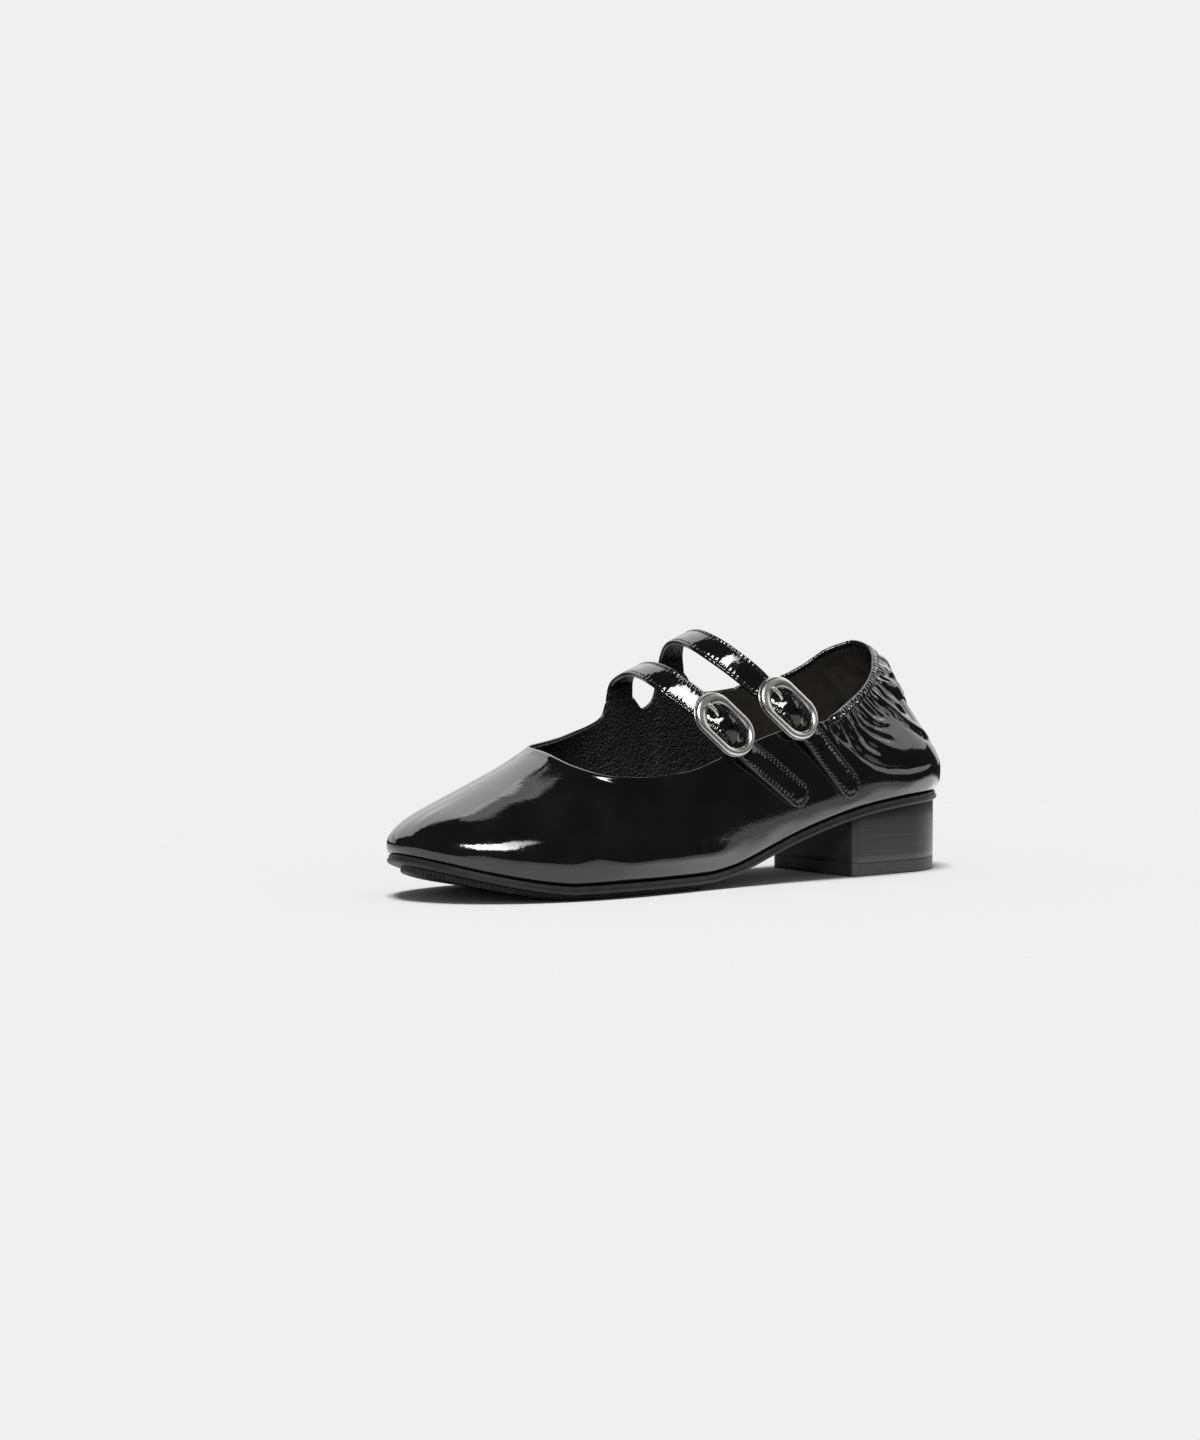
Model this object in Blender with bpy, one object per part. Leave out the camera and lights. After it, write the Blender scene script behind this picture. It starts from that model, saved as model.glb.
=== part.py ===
"""Mary jane flat, the left shoe of a pair: patent upper with a gathered heel, two buckled straps, block heel.

Every shape is worked out in the shoe's own measures, in millimetres:
    s    forward along the shoe from the back of the outsole's heel
    out  sideways from the shoe's long axis, positive to the outer (lateral) side
    z    up from the floor
world() turns them into the frame that the solids are in: metres, toe towards -X, outer side towards -Y.
"""

import math

import bmesh
import bpy
import numpy as np
from mathutils import Vector
from mathutils.bvhtree import BVHTree

MM = 0.001
GAP = 0.3  # between pieces that touch on the real shoe

# The frame's origin, in the shoe's own measures: the middle of the box of the whole shoe.
ORIGIN_S = 121.7
ORIGIN_OUT = 0.9

# Sole
OUTSOLE_THICK = 4.0
PAD_THICK = 2.0
PAD_INSET = 5.0
PAD_BACK_S = 126.0
LIFT_THICK = 5.0
HEEL_LONG = 55.0
HEEL_WIDE = 48.5
HEEL_CORNER = 3.0
HEEL_BACK = (2.4, -1.8)  # s and out of the middle of its back
HEEL_TURN = 5.0  # degrees that its axis points outwards of the shoe's
INSOLE_THICK = 2.2
INSOLE_INSET = 7.2

# Upper
WALL = 1.8
TUCK = 4.0  # how far the lasted edge turns in under the foot

# Straps and buckles
STRAP_WIDTH = 10.0
STRAP_FLARE = 1.5  # added to the width at its root
STRAP_REST = 0.65  # between the tail and the quarter that it lies on
STRAP_THICK = 1.8
BUCKLE_LONG = 28.0
BUCKLE_WIDE = 17.6
BUCKLE_THICK = 2.4
BUCKLE_SIDE = 3.1  # width of the metal beside the strap and at the tail end
BUCKLE_HEAD = 5.4  # width of the metal at the end where the prong rests
BAR_RADIUS = 0.9
BAR_DROP = 1.4  # the bar lies this far under the frame's middle plane
PRONG_RADIUS = 0.75
# The prong's middle line and the axis of the strap's hole for it, in the frame's own directions.
PRONG_LINE = (
    # down the strap from the bar, out of the frame
    (-1.95, -1.5),
    (-3.6, 0.0),
    (-5.0, 1.5),
    (-7.2, 2.25),
    (-9.8, 2.35),
    (-12.6, 2.2),
)
PRONG_HOLE = ((-1.9, -2.0), (-5.3, 1.9))
ELASTIC_THICK = 0.9
ELASTIC_WIDTH = 9.0

# The outsole's edge in plan: s, then how far out it reaches on the lateral and on the medial side.
HEEL_TIP = (0.0, -1.5)
TOE_TIP = (243.5, -3.0)
EDGE = (
    # s, lateral, medial
    (3.5, 12.0, 14.0),
    (13.0, 21.6, 22.2),
    (27.0, 27.2, 25.6),
    (45.0, 29.6, 25.2),
    (70.0, 30.2, 22.6),
    (95.0, 30.6, 21.6),
    (120.0, 33.0, 24.4),
    (145.0, 37.0, 31.4),
    (165.0, 39.3, 35.8),
    (183.0, 39.5, 37.8),
    (200.0, 37.0, 37.2),
    (215.0, 32.0, 34.0),
    (228.0, 24.5, 28.2),
    (237.0, 15.5, 20.4),
    (242.0, 5.6, 11.0),
)

# Side view of the outsole's lower face: heel seat, arch, flat tread, toe spring.
SOLE_LINE = (
    # s, z
    (-4.0, 27.3),
    (10.0, 27.0),
    (28.0, 26.3),
    (41.0, 25.1),
    (50.0, 23.8),
    (60.0, 21.7),
    (72.0, 18.6),
    (84.0, 14.9),
    (95.0, 10.9),
    (106.0, 6.9),
    (116.0, 4.1),
    (128.0, 2.5),
    (140.0, 2.3),
    (190.0, 2.3),
    (200.0, 3.3),
    (210.0, 5.0),
    (220.0, 7.2),
    (230.0, 9.9),
    (238.0, 12.4),
    (244.0, 14.4),
    (250.0, 16.4),
)

# One row for each section of the upper, in order round the shoe from the back of the heel.
# side and foot: where the section stands on the outsole's edge (s).
# cuts: how many steps lead to the next row.
# top_s, top_out, top_z: its point on the topline.
# slope: how steeply the leather leaves the topline, in degrees below the horizontal.
# reach: how far it keeps that direction. rise: how far it stands upright above the sole.
SECTIONS = (
    # side, foot, cuts, top_s, top_out, top_z, slope, reach, rise
    ("lateral", 0.0, 8, 23.0, -3.0, 86.4, 62, 16, 12),
    ("lateral", 13.0, 8, 29.5, 9.5, 79.6, 66, 15, 11),
    ("lateral", 30.0, 8, 41.0, 18.0, 72.0, 72, 13, 10),
    ("lateral", 50.0, 7, 55.5, 23.5, 65.5, 78, 12, 9),
    ("lateral", 68.0, 3, 69.0, 26.4, 60.8, 84, 12, 9),
    ("lateral", 84.0, 3, 83.0, 28.0, 59.6, 86, 12, 9),
    ("lateral", 98.0, 4, 97.0, 29.2, 56.8, 86, 12, 9),
    ("lateral", 118.0, 4, 117.0, 31.0, 50.6, 84, 12, 9),
    ("lateral", 141.0, 4, 138.0, 32.4, 45.2, 78, 10, 8),
    ("lateral", 160.0, 3, 155.0, 31.8, 44.2, 68, 9, 8),
    ("lateral", 178.0, 3, 168.0, 28.4, 45.0, 57, 10, 8),
    ("lateral", 195.0, 3, 176.0, 22.0, 47.2, 46, 13, 9),
    ("lateral", 212.0, 3, 180.0, 14.5, 50.0, 37, 19, 10),
    ("lateral", 228.0, 3, 181.4, 6.5, 52.2, 32, 26, 11),
    ("lateral", 243.5, 3, 181.6, -1.5, 53.4, 29, 32, 11),
    ("medial", 228.0, 3, 180.6, -8.5, 53.8, 32, 28, 11),
    ("medial", 212.0, 3, 177.4, -14.5, 54.0, 38, 24, 10),
    ("medial", 192.0, 3, 169.0, -20.0, 54.4, 47, 18, 10),
    ("medial", 172.0, 3, 158.0, -24.4, 55.4, 58, 14, 10),
    ("medial", 153.0, 3, 147.6, -27.2, 57.4, 68, 14, 10),
    ("medial", 141.0, 2, 139.4, -28.2, 59.8, 74, 14, 10),
    ("medial", 135.0, 2, 134.6, -28.2, 63.0, 76, 14, 10),
    ("medial", 132.8, 4, 133.0, -27.9, 68.2, 78, 14, 10),
    ("medial", 121.6, 2, 121.6, -27.9, 69.6, 78, 14, 10),
    ("medial", 116.2, 2, 116.2, -28.2, 64.6, 78, 14, 10),
    ("medial", 111.4, 1, 111.2, -28.0, 68.6, 78, 14, 10),
    ("medial", 109.6, 4, 109.6, -27.2, 76.4, 80, 14, 10),
    ("medial", 98.0, 1, 98.0, -26.8, 78.2, 80, 14, 10),
    ("medial", 94.0, 2, 93.6, -27.4, 72.8, 80, 14, 10),
    ("medial", 86.0, 3, 86.0, -27.4, 69.8, 80, 14, 10),
    ("medial", 72.0, 4, 72.0, -26.8, 70.8, 76, 14, 10),
    ("medial", 53.0, 5, 53.5, -25.0, 74.1, 72, 14, 10),
    ("medial", 40.0, 5, 44.4, -22.6, 78.2, 72, 14, 10),
    ("medial", 26.0, 6, 35.0, -18.2, 84.8, 68, 15, 11),
    ("medial", 12.0, 7, 26.4, -11.6, 88.2, 64, 16, 12),
)

# Folds that the elastic in the collar draws into the heel, from the lateral side round to the medial side.
# at: place round the topline, in sections counted from the back of the heel (negative on the medial side).
FOLDS = (
    # at, width in sections, depth, where it starts (share of the height), where it runs out
    (26.0, 2.2, 0.7, 0.98, 0.60),
    (22.8, 2.6, 1.2, 0.98, 0.50),
    (19.2, 2.8, 1.5, 0.98, 0.42),
    (15.2, 3.0, 1.6, 0.98, 0.38),
    (11.0, 3.2, 1.7, 0.98, 0.34),
    (6.6, 3.4, 1.6, 0.98, 0.36),
    (2.0, 3.4, 1.5, 0.98, 0.40),
    (-2.8, 3.4, 1.6, 0.98, 0.36),
    (-7.4, 3.2, 1.7, 0.98, 0.34),
    (-11.8, 3.2, 1.6, 0.98, 0.38),
    (-16.0, 3.0, 1.5, 0.98, 0.42),
    (-20.0, 2.8, 1.3, 0.98, 0.50),
    (-23.8, 2.6, 1.1, 0.98, 0.55),
    (-27.4, 2.4, 0.8, 0.98, 0.62),
)

# arch: the strap's middle line from its root on the medial quarter towards its buckle.
# buckle: the middle of the frame.
# points, faces: the frame's directions down the strap and away from the foot (s, out, z).
# tip: s and z of the end of the tail.
# elastic: s and z of two places on the quarter, behind which the elastic starts and ends.
STRAPS = {
    "front": {
        "arch": (
            # s, out, z, tilt: how far the front edge hangs below the back one, in degrees
            (127.3, -27.0, 69.6, 7),
            (127.6, -25.4, 75.0, 12),
            (129.0, -18.0, 79.4, 20),
            (130.6, -8.0, 81.0, 22),
            (131.2, 2.0, 80.4, 22),
            (130.8, 11.0, 78.2, 22),
            (129.8, 19.0, 75.4, 26),
        ),
        "buckle": (118.9, 31.4, 62.3),
        "points": (-0.69, 0.24, -0.69),
        "faces": (0.02, 0.95, 0.30),
        "tip": (81.4, 31.0),
        "elastic": ((112.5, 50.6), (107.5, 37.0)),
    },
    "rear": {
        "arch": (
            (103.8, -26.1, 78.1, 9),
            (104.8, -24.6, 84.0, 14),
            (106.4, -19.4, 89.6, 22),
            (107.0, -11.6, 91.8, 26),
            (106.2, -2.0, 90.4, 26),
            (103.6, 8.0, 86.2, 26),
            (100.4, 17.0, 81.0, 26),
        ),
        "buckle": (87.4, 29.2, 67.0),
        "points": (-0.69, 0.24, -0.69),
        "faces": (0.02, 0.94, 0.33),
        "tip": (57.6, 32.4),
        "elastic": ((82.0, 57.4), (78.0, 43.0)),
    },
}


def world(point):
    """A point in the shoe's own measures, as a point of the model."""
    s, out, z = point
    return Vector(((ORIGIN_S - s) * MM, (ORIGIN_OUT - out) * MM, z * MM))


def clear_scene():
    for obj in list(bpy.data.objects):
        bpy.data.objects.remove(obj, do_unlink=True)


def material(name, colour, roughness, metallic=0.0):
    made = bpy.data.materials.new(name)
    made.use_nodes = True
    shader = made.node_tree.nodes["Principled BSDF"]
    shader.inputs["Base Color"].default_value = (*colour, 1.0)
    shader.inputs["Roughness"].default_value = roughness
    shader.inputs["Metallic"].default_value = metallic
    return made


def add_object(name, points, faces, look, sharp_degrees=40):
    """A closed mesh, given in the shoe's own measures, as one named object."""
    mesh = bpy.data.meshes.new(name)
    mesh.from_pydata([world(p) for p in points], [], faces)
    build = bmesh.new()
    build.from_mesh(mesh)
    bmesh.ops.recalc_face_normals(build, faces=build.faces)
    build.to_mesh(mesh)
    build.free()
    mesh.shade_smooth()
    mesh.set_sharp_from_angle(angle=math.radians(sharp_degrees))
    mesh.materials.append(look)
    obj = bpy.data.objects.new(name, mesh)
    bpy.context.scene.collection.objects.link(obj)
    return obj


def smooth_between(knots, values, at):
    """Values at places between knots on a smooth curve that never overshoots a row of the table."""
    knots = np.asarray(knots, float)
    values = np.asarray(values, float)
    step = np.diff(knots)
    slope = np.diff(values, axis=0) / step[:, None]
    tangent = np.zeros_like(values)
    tangent[0], tangent[-1] = slope[0], slope[-1]
    before, after = slope[:-1], slope[1:]
    same_way = before * after > 0
    weight_a = (2 * step[1:] + step[:-1])[:, None]
    weight_b = (step[1:] + 2 * step[:-1])[:, None]
    mean = (weight_a + weight_b) / (
        weight_a / np.where(same_way, before, 1) + weight_b / np.where(same_way, after, 1)
    )
    tangent[1:-1] = np.where(same_way, mean, 0)
    at = np.atleast_1d(np.asarray(at, float))
    span = np.clip(np.searchsorted(knots, at, side="right") - 1, 0, len(step) - 1)
    wide = step[span][:, None]
    u = ((at - knots[span]) / step[span])[:, None]
    a, b = values[span], values[span + 1]
    m, n = tangent[span] * wide, tangent[span + 1] * wide
    return (
        a * (2 * u**3 - 3 * u**2 + 1)
        + m * (u**3 - 2 * u**2 + u)
        + b * (3 * u**2 - 2 * u**3)
        + n * (u**3 - u**2)
    )


def round_curve(points, per_span, closed=False):
    """A curve through points, with per_span steps from each point to the next."""
    points = np.asarray(points, float)
    count = len(points)
    spans = count if closed else count - 1
    made = []
    for i in range(spans):
        if closed:
            p0, p1, p2, p3 = (points[(i + k) % count] for k in (-1, 0, 1, 2))
        else:
            p1, p2 = points[i], points[i + 1]
            p0 = points[i - 1] if i > 0 else 2 * p1 - p2
            p3 = points[i + 2] if i + 2 < count else 2 * p2 - p1
        gaps = [max(np.linalg.norm(b - a), 1e-6) ** 0.5 for a, b in ((p0, p1), (p1, p2), (p2, p3))]
        m1 = (p2 - p1) + gaps[1] * ((p1 - p0) / gaps[0] - (p2 - p0) / (gaps[0] + gaps[1]))
        m2 = (p2 - p1) + gaps[1] * ((p3 - p2) / gaps[2] - (p3 - p1) / (gaps[1] + gaps[2]))
        for k in range(per_span):
            u = k / per_span
            made.append(
                p1 * (2 * u**3 - 3 * u**2 + 1)
                + m1 * (u**3 - 2 * u**2 + u)
                + p2 * (3 * u**2 - 2 * u**3)
                + m2 * (u**3 - u**2)
            )
    if not closed:
        made.append(points[-1])
    return np.array(made)


def sole_z(s):
    """Height of the outsole's lower face at s."""
    table = np.array(SOLE_LINE)
    return smooth_between(table[:, 0], table[:, 1:], s)[:, 0]


class Edge:
    """The outsole's edge in plan, followed from the heel to the toe along either side."""

    def __init__(self):
        lateral = [(s, out) for s, out, _ in EDGE]
        medial = [(s, -out) for s, _, out in reversed(EDGE)]
        ring = round_curve([HEEL_TIP, *lateral, TOE_TIP, *medial], 16, closed=True)
        toe = 16 * (len(lateral) + 1)
        self.sides = {
            "lateral": self.measured(ring[: toe + 1]),
            "medial": self.measured(np.vstack([ring[toe:], ring[:1]])[::-1]),
        }

    @staticmethod
    def measured(line):
        """A line with the share of its length at each of its points."""
        length = np.concatenate([[0], np.cumsum(np.linalg.norm(np.diff(line, axis=0), axis=1))])
        return line, length / length[-1]

    def share_at(self, side, s):
        """How far along a side, from 0 at the heel to 1 at the toe, its edge reaches s."""
        line, share = self.sides[side]
        return float(np.interp(s, line[:, 0], share))

    def place(self, side, share):
        line, at = self.sides[side]
        return np.array([np.interp(share, at, line[:, k]) for k in (0, 1)])

    def outward(self, side, share):
        """The direction square to the edge, away from the foot."""
        step = 0.012
        ahead = self.place(side, min(share + step, 1.0))
        behind = self.place(side, max(share - step, 0.0))
        along = ahead - behind
        along = along / np.linalg.norm(along)
        turn = 1.0 if side == "lateral" else -1.0
        # At its tip the edge runs straight across the shoe.
        if share < step:
            nearness = 1 - share / step
            along = np.array([0.0, turn]) * nearness + along * (1 - nearness)
        if share > 1 - step:
            nearness = 1 - (1 - share) / step
            along = np.array([0.0, -turn]) * nearness + along * (1 - nearness)
        square = np.array([-along[1], along[0]]) * turn
        return square / np.linalg.norm(square)


def plate_rows(edge, back_s, rungs):
    """Places along both edges, from the heel's tip (or a straight cut at back_s) to the toe's tip."""
    rows = []
    for k in range(rungs + 1):
        swing = (1 - math.cos(math.pi * k / rungs)) / 2  # rows crowd where the ends turn
        row = []
        for side in ("lateral", "medial"):
            first = edge.share_at(side, back_s) if back_s > 0 else 0.0
            share = first + (1 - first) * (0.35 * k / rungs + 0.65 * swing)
            row.append((edge.place(side, share), edge.outward(side, share)))
        rows.append(row)
    return rows


def make_plate(name, edge, inset, back_s, rungs, across, low, high, bevel_low, bevel_high, look):
    """A plate that follows the sole in plan, inset from its edge, between two heights given by s.

    bevel_low and bevel_high are how far its lower and upper edges are taken in (width, height).
    """
    rows = plate_rows(edge, back_s, rungs)
    rings = (
        (inset + bevel_low[0], low, 0.0),
        (inset, low, bevel_low[1]),
        (inset, high, -bevel_high[1]),
        (inset + bevel_high[0], high, 0.0),
    )
    points, faces, grids = [], [], []

    def add(spot, z):
        points.append((spot[0], spot[1], z))
        return len(points) - 1

    for ring, (shift, height, lift) in enumerate(rings):
        filled = ring in (0, len(rings) - 1)
        grid = []
        for k, pair in enumerate(rows):
            left, right = (place - outward * shift for place, outward in pair)
            if k == rungs or (k == 0 and back_s <= 0):
                grid.append([add(left, height(left[0]) + lift)])
                continue
            row = [add(left, height(left[0]) + lift)]
            if filled or k == 0:
                for c in range(1, across):
                    spot = left + (right - left) * c / across
                    row.append(add(spot, height(spot[0]) + lift))
            row.append(add(right, height(right[0]) + lift))
            grid.append(row)
        grids.append(grid)
    loops = []
    for grid in grids:
        lateral = [row[0] for row in grid]
        medial = [row[-1] for row in grid[-2:0:-1]]
        straight_back = grid[0][:0:-1]
        loops.append(lateral + medial + straight_back)
    for lower, upper in zip(loops, loops[1:]):
        for i in range(len(lower)):
            j = (i + 1) % len(lower)
            faces.append((lower[i], lower[j], upper[j], upper[i]))
    for grid in (grids[0], grids[-1]):
        for a, b in zip(grid, grid[1:]):
            if len(a) == 1:
                faces.extend((a[0], b[c], b[c + 1]) for c in range(across))
            elif len(b) == 1:
                faces.extend((a[c], b[0], a[c + 1]) for c in range(across))
            else:
                faces.extend((a[c], b[c], b[c + 1], a[c + 1]) for c in range(across))
    return add_object(name, points, faces, look)


def upper_sections(edge):
    """The upper's sections in order round the shoe: foot place, outward direction and topline values."""
    spans = []
    for side, foot, cuts, *values in SECTIONS:
        share = edge.share_at(side, foot) if foot > 0 else 0.0
        if foot >= TOE_TIP[0]:
            share = 1.0
        turn = share if side == "lateral" else 2.0 - share
        spans.append((turn, cuts, values))
    turns = [t for t, _, _ in spans]
    table = [v for _, _, v in spans]
    padded_turns = [t - 2 for t in turns[-3:]] + turns + [t + 2 for t in turns[:3]]
    padded = table[-3:] + table + table[:3]
    made = []
    for i, (turn, cuts, _) in enumerate(spans):
        end = turns[i + 1] if i + 1 < len(turns) else 2.0
        for k in range(cuts):
            here = turn + (end - turn) * k / cuts
            side = "lateral" if here <= 1 else "medial"
            share = here if here <= 1 else 2 - here
            values = smooth_between(padded_turns, padded, here)[0]
            made.append((edge.place(side, share), edge.outward(side, share), values))
    return made


def section_profile(foot, outward, values, heights):
    """Points of one section's outer face, from under the foot to the topline."""
    top_s, top_out, top_z, slope, reach, rise = values
    turn_radius = TUCK * 0.9
    tucked = foot - outward * TUCK
    floor_z = float(sole_z(tucked[0])[0]) + OUTSOLE_THICK + GAP
    start = np.array([*tucked, floor_z])
    stand_z = float(sole_z(foot[0])[0]) + OUTSOLE_THICK + GAP + turn_radius
    stand = np.array([*(foot + outward * 0.6), stand_z])
    top = np.array([top_s, top_out, top_z])
    away = (foot - top[:2]) + outward * 10.0
    away = away / np.linalg.norm(away)
    angle = math.radians(slope)
    leave = np.array([*(away * math.cos(angle)), -math.sin(angle)])
    control = (
        stand,
        stand + np.array([*(outward * 1.8), rise]),
        top + leave * reach,
        top,
    )
    made = []
    for h in heights:
        if h < 0:
            quarter = (1 + h) * math.pi / 2
            across = start[:2] + (stand[:2] - start[:2]) * math.sin(quarter)
            z = floor_z + (stand_z - floor_z) * (1 - math.cos(quarter))
            made.append(np.array([*across, z]))
            continue
        u = h
        weights = ((1 - u) ** 3, 3 * u * (1 - u) ** 2, 3 * u**2 * (1 - u), u**3)
        made.append(sum(w * c for w, c in zip(weights, control)))
    return made


def fold_depth(index, count, height):
    """How far the gathers push the leather out (or draw it in) at a section and a share of the height."""
    where = index if index <= count / 2 else index - count
    depth = 0.0
    for at, width, deep, start, end in FOLDS:
        across = (where - at) / width
        if abs(across) > 1 or height <= end:
            continue
        along = min(1.0, (height - end) / 0.16) * (1.0 - 0.55 * max(0.0, (height - 0.8) / 0.2))
        depth += deep * (math.cos(math.pi * across) + 1) / 2 * along
    return depth


def make_upper(edge, look):
    """The upper's wall: outer face, rounded topline, inner face and a flat foot, as one ring of sections."""
    heights = (-1.0, -0.5, 0.0, 0.08, 0.18, 0.3, 0.42, 0.54, 0.66, 0.77, 0.88, 0.97)
    inner_heights = (0.97, 0.8, 0.6, 0.4, 0.2, 0.05, -0.5, -1.0)
    sections = upper_sections(edge)
    count = len(sections)
    all_heights = sorted(set(heights) | set(inner_heights) | {1.0})
    grid = {}
    for h in all_heights:
        grid[h] = np.array([section_profile(f, o, v, (h,))[0] for f, o, v in sections])
    normals = {}
    for k, h in enumerate(all_heights):
        up = grid[all_heights[min(k + 1, len(all_heights) - 1)]] - grid[all_heights[max(k - 1, 0)]]
        along = np.roll(grid[h], -1, axis=0) - np.roll(grid[h], 1, axis=0)
        square = np.cross(up, along)
        normals[h] = square / np.linalg.norm(square, axis=1)[:, None]
    rings = []
    for h in heights:
        folds = np.array([fold_depth(i, count, h) for i in range(count)])
        rings.append(grid[h] + normals[h] * (folds - 0.4 * (folds > 0))[:, None])
    top = grid[1.0] - normals[1.0] * (WALL / 2)
    rings.append(top)
    for h in inner_heights:
        folds = np.array([fold_depth(i, count, h) for i in range(count)])
        inner = grid[h] - normals[h] * (WALL - 0.6 * folds)[:, None]
        if h <= -0.5:
            # The lasted edge under the foot is flat and stops a little short of the outer face's edge.
            inset = TUCK + 0.4 + WALL * (1.0 if h == -1.0 else 0.4)
            inner[:, :2] = [f - o * inset for f, o, _ in sections]
            inner[:, 2] = grid[-1.0][:, 2] + (0.0 if h == -1.0 else WALL)
        rings.append(inner)
    points = [tuple(p) for ring in rings for p in ring]
    faces = []
    for r in range(len(rings)):
        below, above = r * count, (r + 1) % len(rings) * count
        for i in range(count):
            j = (i + 1) % count
            faces.append((below + i, below + j, above + j, above + i))
    return add_object("upper", points, faces, look)


def unit(vector):
    vector = np.asarray(vector, float)
    return vector / np.linalg.norm(vector)


def buckle_axes(spec):
    """A buckle's own directions: down the strap, across it and away from the foot."""
    along = unit(spec["points"])
    faces = np.asarray(spec["faces"], float)
    faces = unit(faces - along * faces.dot(along))
    return along, unit(np.cross(faces, along)), faces


def bulge(a):
    """How far the strap's middle lies from the buckle's middle plane, a from its bar down the strap."""
    low = -(BUCKLE_THICK / 2 + 0.55 + STRAP_THICK / 2)
    high = -BAR_DROP + BAR_RADIUS + 0.8 + STRAP_THICK / 2
    reach = BUCKLE_LONG / 2 - (BUCKLE_HEAD + 1.0 if a < 0 else BUCKLE_SIDE + 2.1)
    if abs(a) >= reach:
        return low
    return low + (high - low) * math.cos(math.pi * a / (2 * reach)) ** 2


def surface_tree(obj):
    """The upper's faces, to find where a piece lies on them."""
    points = [v.co.copy() for v in obj.data.vertices]
    return BVHTree.FromPolygons(points, [tuple(p.vertices) for p in obj.data.polygons])


def quarter_point(tree, s, z):
    """The point of the upper's outer face at s and z on the lateral side."""
    hit = tree.ray_cast(world((s, 90.0, z)), Vector((0.0, 1.0, 0.0)))[0]
    return np.array([s, ORIGIN_OUT - hit.y / MM, z])


def on_quarter(tree, s, z, rise):
    """The same point, and the direction square to the face there, taken over the leather up to rise away."""
    place = quarter_point(tree, s, z)
    along = quarter_point(tree, s + 4.0, z) - quarter_point(tree, s - 4.0, z)
    square = unit(np.cross(along, quarter_point(tree, s, z + rise) - place))
    return place, square if square[1] > 0 else -square


def band_across(centres, outwards):
    """The direction of a band's width at each point, square to its way and to the direction it faces."""
    ways = np.gradient(centres, axis=0)
    return np.array([unit(np.cross(face, way)) for face, way in zip(outwards, ways)])


def strap_line(spec, tree):
    """Middle points and width directions of a strap from its root, through its buckle, to its tail's tip."""
    along, across, faces = buckle_axes(spec)
    middle = np.array(spec["buckle"])
    half = BUCKLE_LONG / 2

    def in_buckle(a):
        return middle + along * a + faces * bulge(a)

    arch = np.array(spec["arch"])
    steps = 3
    line = round_curve(np.vstack([arch[:, :3], in_buckle(-half), in_buckle(-half + 3.5)]), steps)[: -steps]
    tilts = np.interp(np.arange(len(line)) / steps, np.arange(len(arch)), arch[:, 3])
    blend = np.clip((np.arange(len(line)) / steps - (len(arch) - 2.2)) / 2.0, 0, 1)
    blend = blend * blend * (3 - 2 * blend)
    side = -across if across[0] < 0 else across
    centres, widths = [], []
    for point, tilt, mix in zip(line, np.radians(tilts), blend):
        centres.append(point)
        widths.append(unit(np.array([math.cos(tilt), 0.0, -math.sin(tilt)]) * (1 - mix) + side * mix))
    for a in (-12.0, -9.6, -7.9, -6.6, -5.2, -3.9, -2.6, -1.3, 0.0, 1.5, 3.0, 4.6, 6.2, 7.8, 9.4, 11.0, 13.0):
        centres.append(in_buckle(a))
        widths.append(side)
    start = in_buckle(half + 1.0)
    tip_s, tip_z = spec["tip"]
    tail, facing = [centres[-1], start], [faces, faces]
    for share in (0.3, 0.55, 0.8, 1.0):
        s = start[0] + (tip_s - start[0]) * share
        z = start[2] + (tip_z - start[2]) * share
        place, square = on_quarter(tree, s, z, 4.0)
        tail.append(place + square * (STRAP_REST + STRAP_THICK / 2))
        facing.append(square)
    tail = round_curve(tail, 3)[1:]
    facing = round_curve(facing, 3)[1:]
    flat = band_across(tail, facing)
    centres.extend(tail)
    widths.extend(w if w[0] > 0 else -w for w in flat)
    return np.array(centres), np.array(widths)


def make_band(name, centres, widths, wide, thick, round_end, look):
    """A flat band with soft edges: middle points, directions of its width, and its width at each point."""
    ways = np.gradient(centres, axis=0)
    length = np.concatenate([[0], np.cumsum(np.linalg.norm(np.diff(centres, axis=0), axis=1))])
    half_t = thick / 2
    soft = half_t * 0.6
    points, faces = [], []
    for k, centre in enumerate(centres):
        way = unit(ways[k])
        across = unit(widths[k] - way * widths[k].dot(way))
        up = np.cross(way, across)
        half_w = wide[k] / 2
        left = length[-1] - length[k]
        if round_end and left < half_w:
            half_w = max(1.6, half_w * math.sqrt(1 - ((half_w - left) / half_w) ** 2))
        shape = (
            (-half_w, -half_t + soft),
            (-half_w + soft, -half_t),
            (half_w - soft, -half_t),
            (half_w, -half_t + soft),
            (half_w, half_t - soft),
            (half_w - soft, half_t),
            (-half_w + soft, half_t),
            (-half_w, half_t - soft),
        )
        points.extend(tuple(centre + across * x + up * y) for x, y in shape)
    size = 8
    for k in range(len(centres) - 1):
        for i in range(size):
            j = (i + 1) % size
            a, b = k * size, (k + 1) * size
            faces.append((a + i, a + j, b + j, b + i))
    faces.append(tuple(range(size)))
    faces.append(tuple((len(centres) - 1) * size + i for i in range(size)))
    return add_object(name, points, faces, look)


def with_round_end(centres, widths, wide):
    """The band's points with more of them at its end, where it narrows to its tip."""
    last = unit(centres[-1] - centres[-2])
    to_end = np.linalg.norm(centres[-1] - centres, axis=1)
    kept = int(np.flatnonzero(to_end > wide / 2)[-1]) + 1
    turns = np.radians((0, 25, 50, 70, 90))
    more = [centres[-1] - last * (wide / 2) * (1 - math.sin(angle)) for angle in turns]
    return np.vstack([centres[:kept], more]), np.vstack([widths[:kept], [widths[-1]] * len(more)])


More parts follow.
